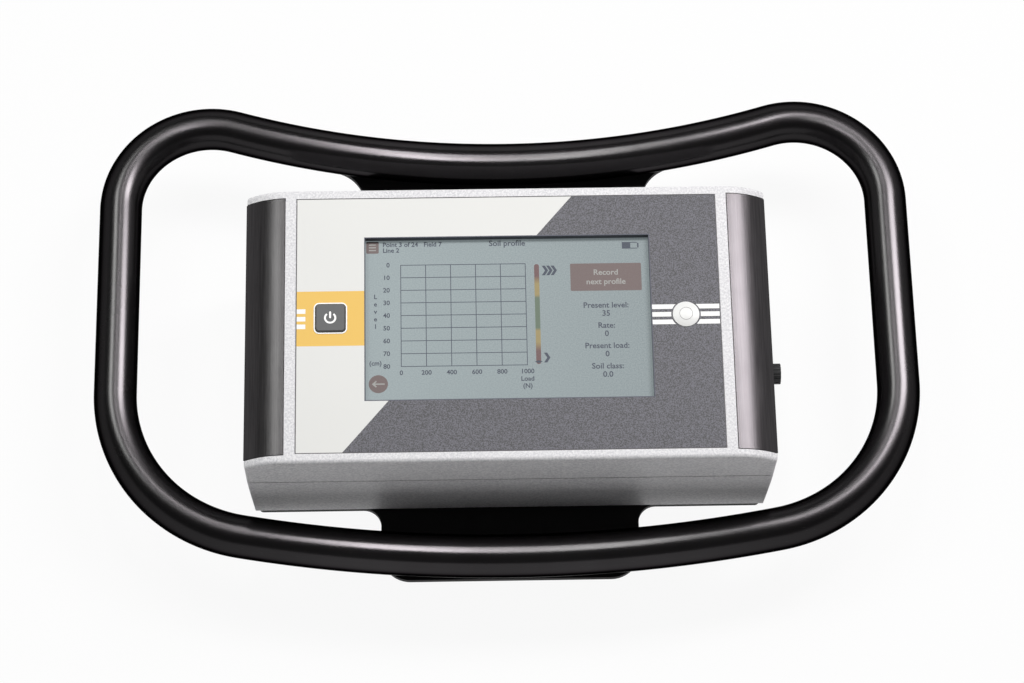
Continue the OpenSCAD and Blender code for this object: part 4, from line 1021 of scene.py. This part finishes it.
class PENETROMETER_OT_underside(bpy.types.Operator):
    """Finishes the sensor housing and the distance sensor"""

    bl_idname = "penetrometer.underside"
    bl_label = "Underside"

    def execute(self, context):
        dress("housing_paint", powder_coat(
            "black_coat", (0.017, 0.017, 0.018), (0.010, 0.010, 0.011), roughness=0.46, grain=0.9 * MM
        ))
        dress("sensor_face", brushed_metal(
            "sensor_can", (0.52, 0.53, 0.54), (0.70, 0.71, 0.72),
            roughness=0.30, stretch=(1.0, 0.1, 1.0), metallic=0.95,
        ))
        return {"FINISHED"}


class PENETROMETER_OT_hardware(bpy.types.Operator):
    """Finishes the screws, brackets and spacers"""

    bl_idname = "penetrometer.hardware"
    bl_label = "Hardware"

    def execute(self, context):
        dress("steel", brushed_metal(
            "plain_steel", (0.46, 0.465, 0.47), (0.62, 0.625, 0.63),
            roughness=0.26, stretch=(1.0, 0.15, 0.15),
        ))
        dress("sheet_metal", brushed_metal(
            "sheet_steel", (0.42, 0.425, 0.43), (0.56, 0.565, 0.57),
            roughness=0.34, stretch=(1.0, 0.05, 1.0),
        ))
        dress("brass", brushed_metal(
            "plain_brass", (0.52, 0.38, 0.15), (0.66, 0.50, 0.22),
            roughness=0.28, stretch=(1.0, 1.0, 0.1),
        ))
        dress("black_screw", moulded("black_oxide", (0.028, 0.028, 0.029), roughness=0.36, Metallic=0.6))
        return {"FINISHED"}


class PENETROMETER_OT_electronics(bpy.types.Operator):
    """Finishes the boards, chips, connectors and the battery pack inside the case"""

    bl_idname = "penetrometer.electronics"
    bl_label = "Electronics"

    def execute(self, context):
        dress("circuit_board", circuit_board())
        dress("chip", moulded("chip_package", (0.022, 0.022, 0.024), roughness=0.52))
        dress("connector", moulded("natural_nylon", (0.76, 0.73, 0.63), roughness=0.45))
        dress("battery_wrap", moulded("battery_wrap", (0.045, 0.11, 0.27), roughness=0.30, grain=3 * MM))
        return {"FINISHED"}


# Lamps and cards: name, tint, place, width and length, and the pieces whose gloss alone shows a card
LAMP_AIM = Vector((0.0, 0.0, 0.08))
PANEL_WIDE, PANEL_TALL = (0.95, 0.46), (0.45, 0.70)
LOOP, TRIMS = ("handle_loop",), ("left_trim", "right_trim")
LAMPS = (
    ("right_panel", "warm", (1.00, 0.78, 1.90), PANEL_WIDE, ()),
    ("left_panel", "cool", (-0.90, 0.78, 1.90), PANEL_TALL, ()),
    ("overhead_left", "warm", (-0.130, 0.80, 2.00), (0.12, 0.62), ()),
    ("overhead_right", "cool", (0.165, 0.80, 2.00), (0.09, 0.62), ()),
    ("right_card", "warm", (1.00, 0.78, 1.91), PANEL_WIDE, LOOP),
    ("left_card", "cool", (-0.90, 0.78, 1.91), PANEL_TALL, LOOP),
    ("near_left_card", "warm", (-0.130, 0.19, 2.00), (0.12, 0.60), LOOP),
    ("near_right_card", "cool", (0.165, 0.19, 2.00), (0.09, 0.60), LOOP),
    ("right_trim_card", "warm", (1.00, 0.78, 1.92), PANEL_WIDE, TRIMS),
    ("left_trim_card", "cool", (-0.90, 0.78, 1.92), PANEL_TALL, TRIMS),
)


class PENETROMETER_OT_stage(bpy.types.Operator):
    """Makes the pale floor with its cove, the studio light and the camera"""

    bl_idname = "penetrometer.stage"
    bl_label = "Stage"

    def execute(self, context):
        look = context.scene.penetrometer_stage
        self.make_floor(look)
        self.make_lights(context, look)
        self.make_camera(context, look)
        context.scene.view_settings.view_transform = "Standard"
        return {"FINISHED"}

    def make_floor(self, look):
        """A disc that curves up into a wall: a straight, a quarter circle and a straight, spun."""
        hub, flat, curve, wall, gap = 0.01, 5.0, 1.5, 4.0, 0.1 * MM
        bend_steps, turn_steps = 12, 96
        bend = np.linspace(0, math.pi / 2, bend_steps)
        reach = np.concatenate([[hub, flat / 2], flat + curve * np.sin(bend), [flat + curve]])
        rise = np.concatenate([[0.0, 0.0], curve * (1 - np.cos(bend)), [wall]])
        rings = turned_points(zip(reach, rise), 0.0, 0.0, cad_low.z - gap, turn_steps)
        faces = ring_faces(*rings.shape[:2], close_rows=False) + [list(range(rings.shape[1]))]
        mesh = bpy.data.meshes.new("floor")
        mesh.from_pydata(rings.reshape(-1, 3).tolist(), [], faces)
        mesh.materials.append(self.floor_paint(look))
        floor = bpy.data.objects.new("floor", mesh)
        bpy.context.scene.collection.objects.link(floor)

    def floor_paint(self, look):
        """Pale matt paint, mostly white where it is seen, also in gloss and glass; clear from below."""
        paint = Paint("floor")
        paint.finish(Base_Color=look.floor, Roughness=0.9, Specular_IOR_Level=0.0)
        path = paint.tree.nodes.new("ShaderNodeLightPath")
        seen = [Value(paint, path.outputs[name])
                for name in ("Is Camera Ray", "Is Glossy Ray", "Is Transmission Ray")]
        factor = paint.contrast(seen[0] + seen[1] + seen[2], 0.0, 1.0) * look.floor_glow
        glow = paint.node("ShaderNodeEmission", None, {"Color": (1.0, 1.0, 1.0), "Strength": 1.0})
        matt = Value(paint, paint.shader.outputs[0])
        both = paint.node("ShaderNodeMixShader", None, {0: factor, 1: matt, 2: glow})
        side = paint.tree.nodes.new("ShaderNodeNewGeometry")
        below = Value(paint, side.outputs["Backfacing"])
        clear_side = paint.node("ShaderNodeBsdfTransparent")
        surface = paint.node("ShaderNodeMixShader", None, {0: below, 1: both, 2: clear_side})
        paint.feed(paint.tree.nodes["Material Output"].inputs["Surface"], surface)
        return paint.material

    def make_lights(self, context, look):
        """An even sky, four lamps, and cards that show only in the gloss of the loop or the trims."""
        world = bpy.data.worlds.new("studio")
        world.use_nodes = True
        background = world.node_tree.nodes["Background"]
        background.inputs["Color"].default_value = (1.0, 1.0, 1.0, 1.0)
        background.inputs["Strength"].default_value = look.sky
        context.scene.world = world
        for name, tint, place, size, shown_by in LAMPS:
            light = bpy.data.lights.new(name, "AREA")
            light.shape = "RECTANGLE"
            light.size, light.size_y = size
            light.energy = getattr(look, name)
            light.color = getattr(look, tint)
            lamp = bpy.data.objects.new(name, light)
            lamp.visible_camera = False
            if shown_by:
                lamp.visible_diffuse = False
                lamp.light_linking.receiver_collection = bpy.data.collections.new(name)
                for piece in shown_by:
                    lamp.light_linking.receiver_collection.objects.link(bpy.data.objects[piece])
            back = (Vector(place) - LAMP_AIM).normalized()
            right = Vector((0.0, 1.0, 0.0)).cross(back).normalized()
            lamp.matrix_world = self.axes_matrix(right, back.cross(right), back, Vector(place))
            context.scene.collection.objects.link(lamp)

    def axes_matrix(self, right, up, back, place):
        """The matrix of an object with given right, up and back directions at a place."""
        matrix = Matrix((right, up, back)).transposed().to_4x4()
        matrix.translation = place
        return matrix

    def make_camera(self, context, look):
        """Turns about x, y and z give the camera's right, up and back; it stands back from the face."""
        turn_x = Matrix.Rotation(-look.tilt, 3, "X")
        turn_y = Matrix.Rotation(look.yaw, 3, "Y")
        turn_z = Matrix.Rotation(look.roll, 3, "Z")
        turn = turn_z @ turn_y @ turn_x
        aim = Vector((face_middle.x, face_middle.y, face_high.z))
        place = aim + turn.transposed() @ Vector((-look.aim_x, -look.aim_y, look.distance))
        data = bpy.data.cameras.new("camera")
        data.lens = look.lens
        data.sensor_width = FULL_FRAME
        data.sensor_fit = "HORIZONTAL"
        camera = bpy.data.objects.new("camera", data)
        camera.matrix_world = self.axes_matrix(turn[0], turn[1], turn[2], place)
        context.scene.collection.objects.link(camera)
        context.scene.camera = camera


class PENETROMETER_PT_sidebar(bpy.types.Panel):
    """Lists the pieces in the 3D view's sidebar"""

    bl_idname = "PENETROMETER_PT_sidebar"
    bl_label = "Soil penetrometer"
    bl_space_type = "VIEW_3D"
    bl_region_type = "UI"
    bl_category = "Penetrometer"

    def draw(self, context):
        for operator in OPERATORS:
            self.layout.operator(operator.bl_idname)


LOOKS = {
    "penetrometer_handle": HandleLook,
    "penetrometer_case": CaseLook,
    "penetrometer_face": FaceLook,
    "penetrometer_screen": ScreenLook,
    "penetrometer_stage": StageLook,
}
OPERATORS = (
    PENETROMETER_OT_handle,
    PENETROMETER_OT_case,
    PENETROMETER_OT_overlay,
    PENETROMETER_OT_screen,
    PENETROMETER_OT_button,
    PENETROMETER_OT_level,
    PENETROMETER_OT_port,
    PENETROMETER_OT_underside,
    PENETROMETER_OT_hardware,
    PENETROMETER_OT_electronics,
    PENETROMETER_OT_stage,
)


def register():
    for kind in (*LOOKS.values(), *OPERATORS, PENETROMETER_PT_sidebar):
        bpy.utils.register_class(kind)
    for name, kind in LOOKS.items():
        setattr(bpy.types.Scene, name, bpy.props.PointerProperty(type=kind))


def unregister():
    for name in LOOKS:
        delattr(bpy.types.Scene, name)
    for kind in (PENETROMETER_PT_sidebar, *reversed(OPERATORS), *LOOKS.values()):
        bpy.utils.unregister_class(kind)


def main():
    register()
    bpy.ops.penetrometer.handle()
    bpy.ops.penetrometer.case()
    bpy.ops.penetrometer.overlay()
    bpy.ops.penetrometer.screen()
    bpy.ops.penetrometer.button()
    bpy.ops.penetrometer.level()
    bpy.ops.penetrometer.port()
    bpy.ops.penetrometer.underside()
    bpy.ops.penetrometer.hardware()
    bpy.ops.penetrometer.electronics()
    bpy.ops.penetrometer.stage()
    bare = sorted(name for name, obj in frame["nodes"].items() if not obj.get("dressed"))
    if bare:
        raise RuntimeError(f"these CAD nodes have no finish: {bare}")


if __name__ == "__main__":
    main()
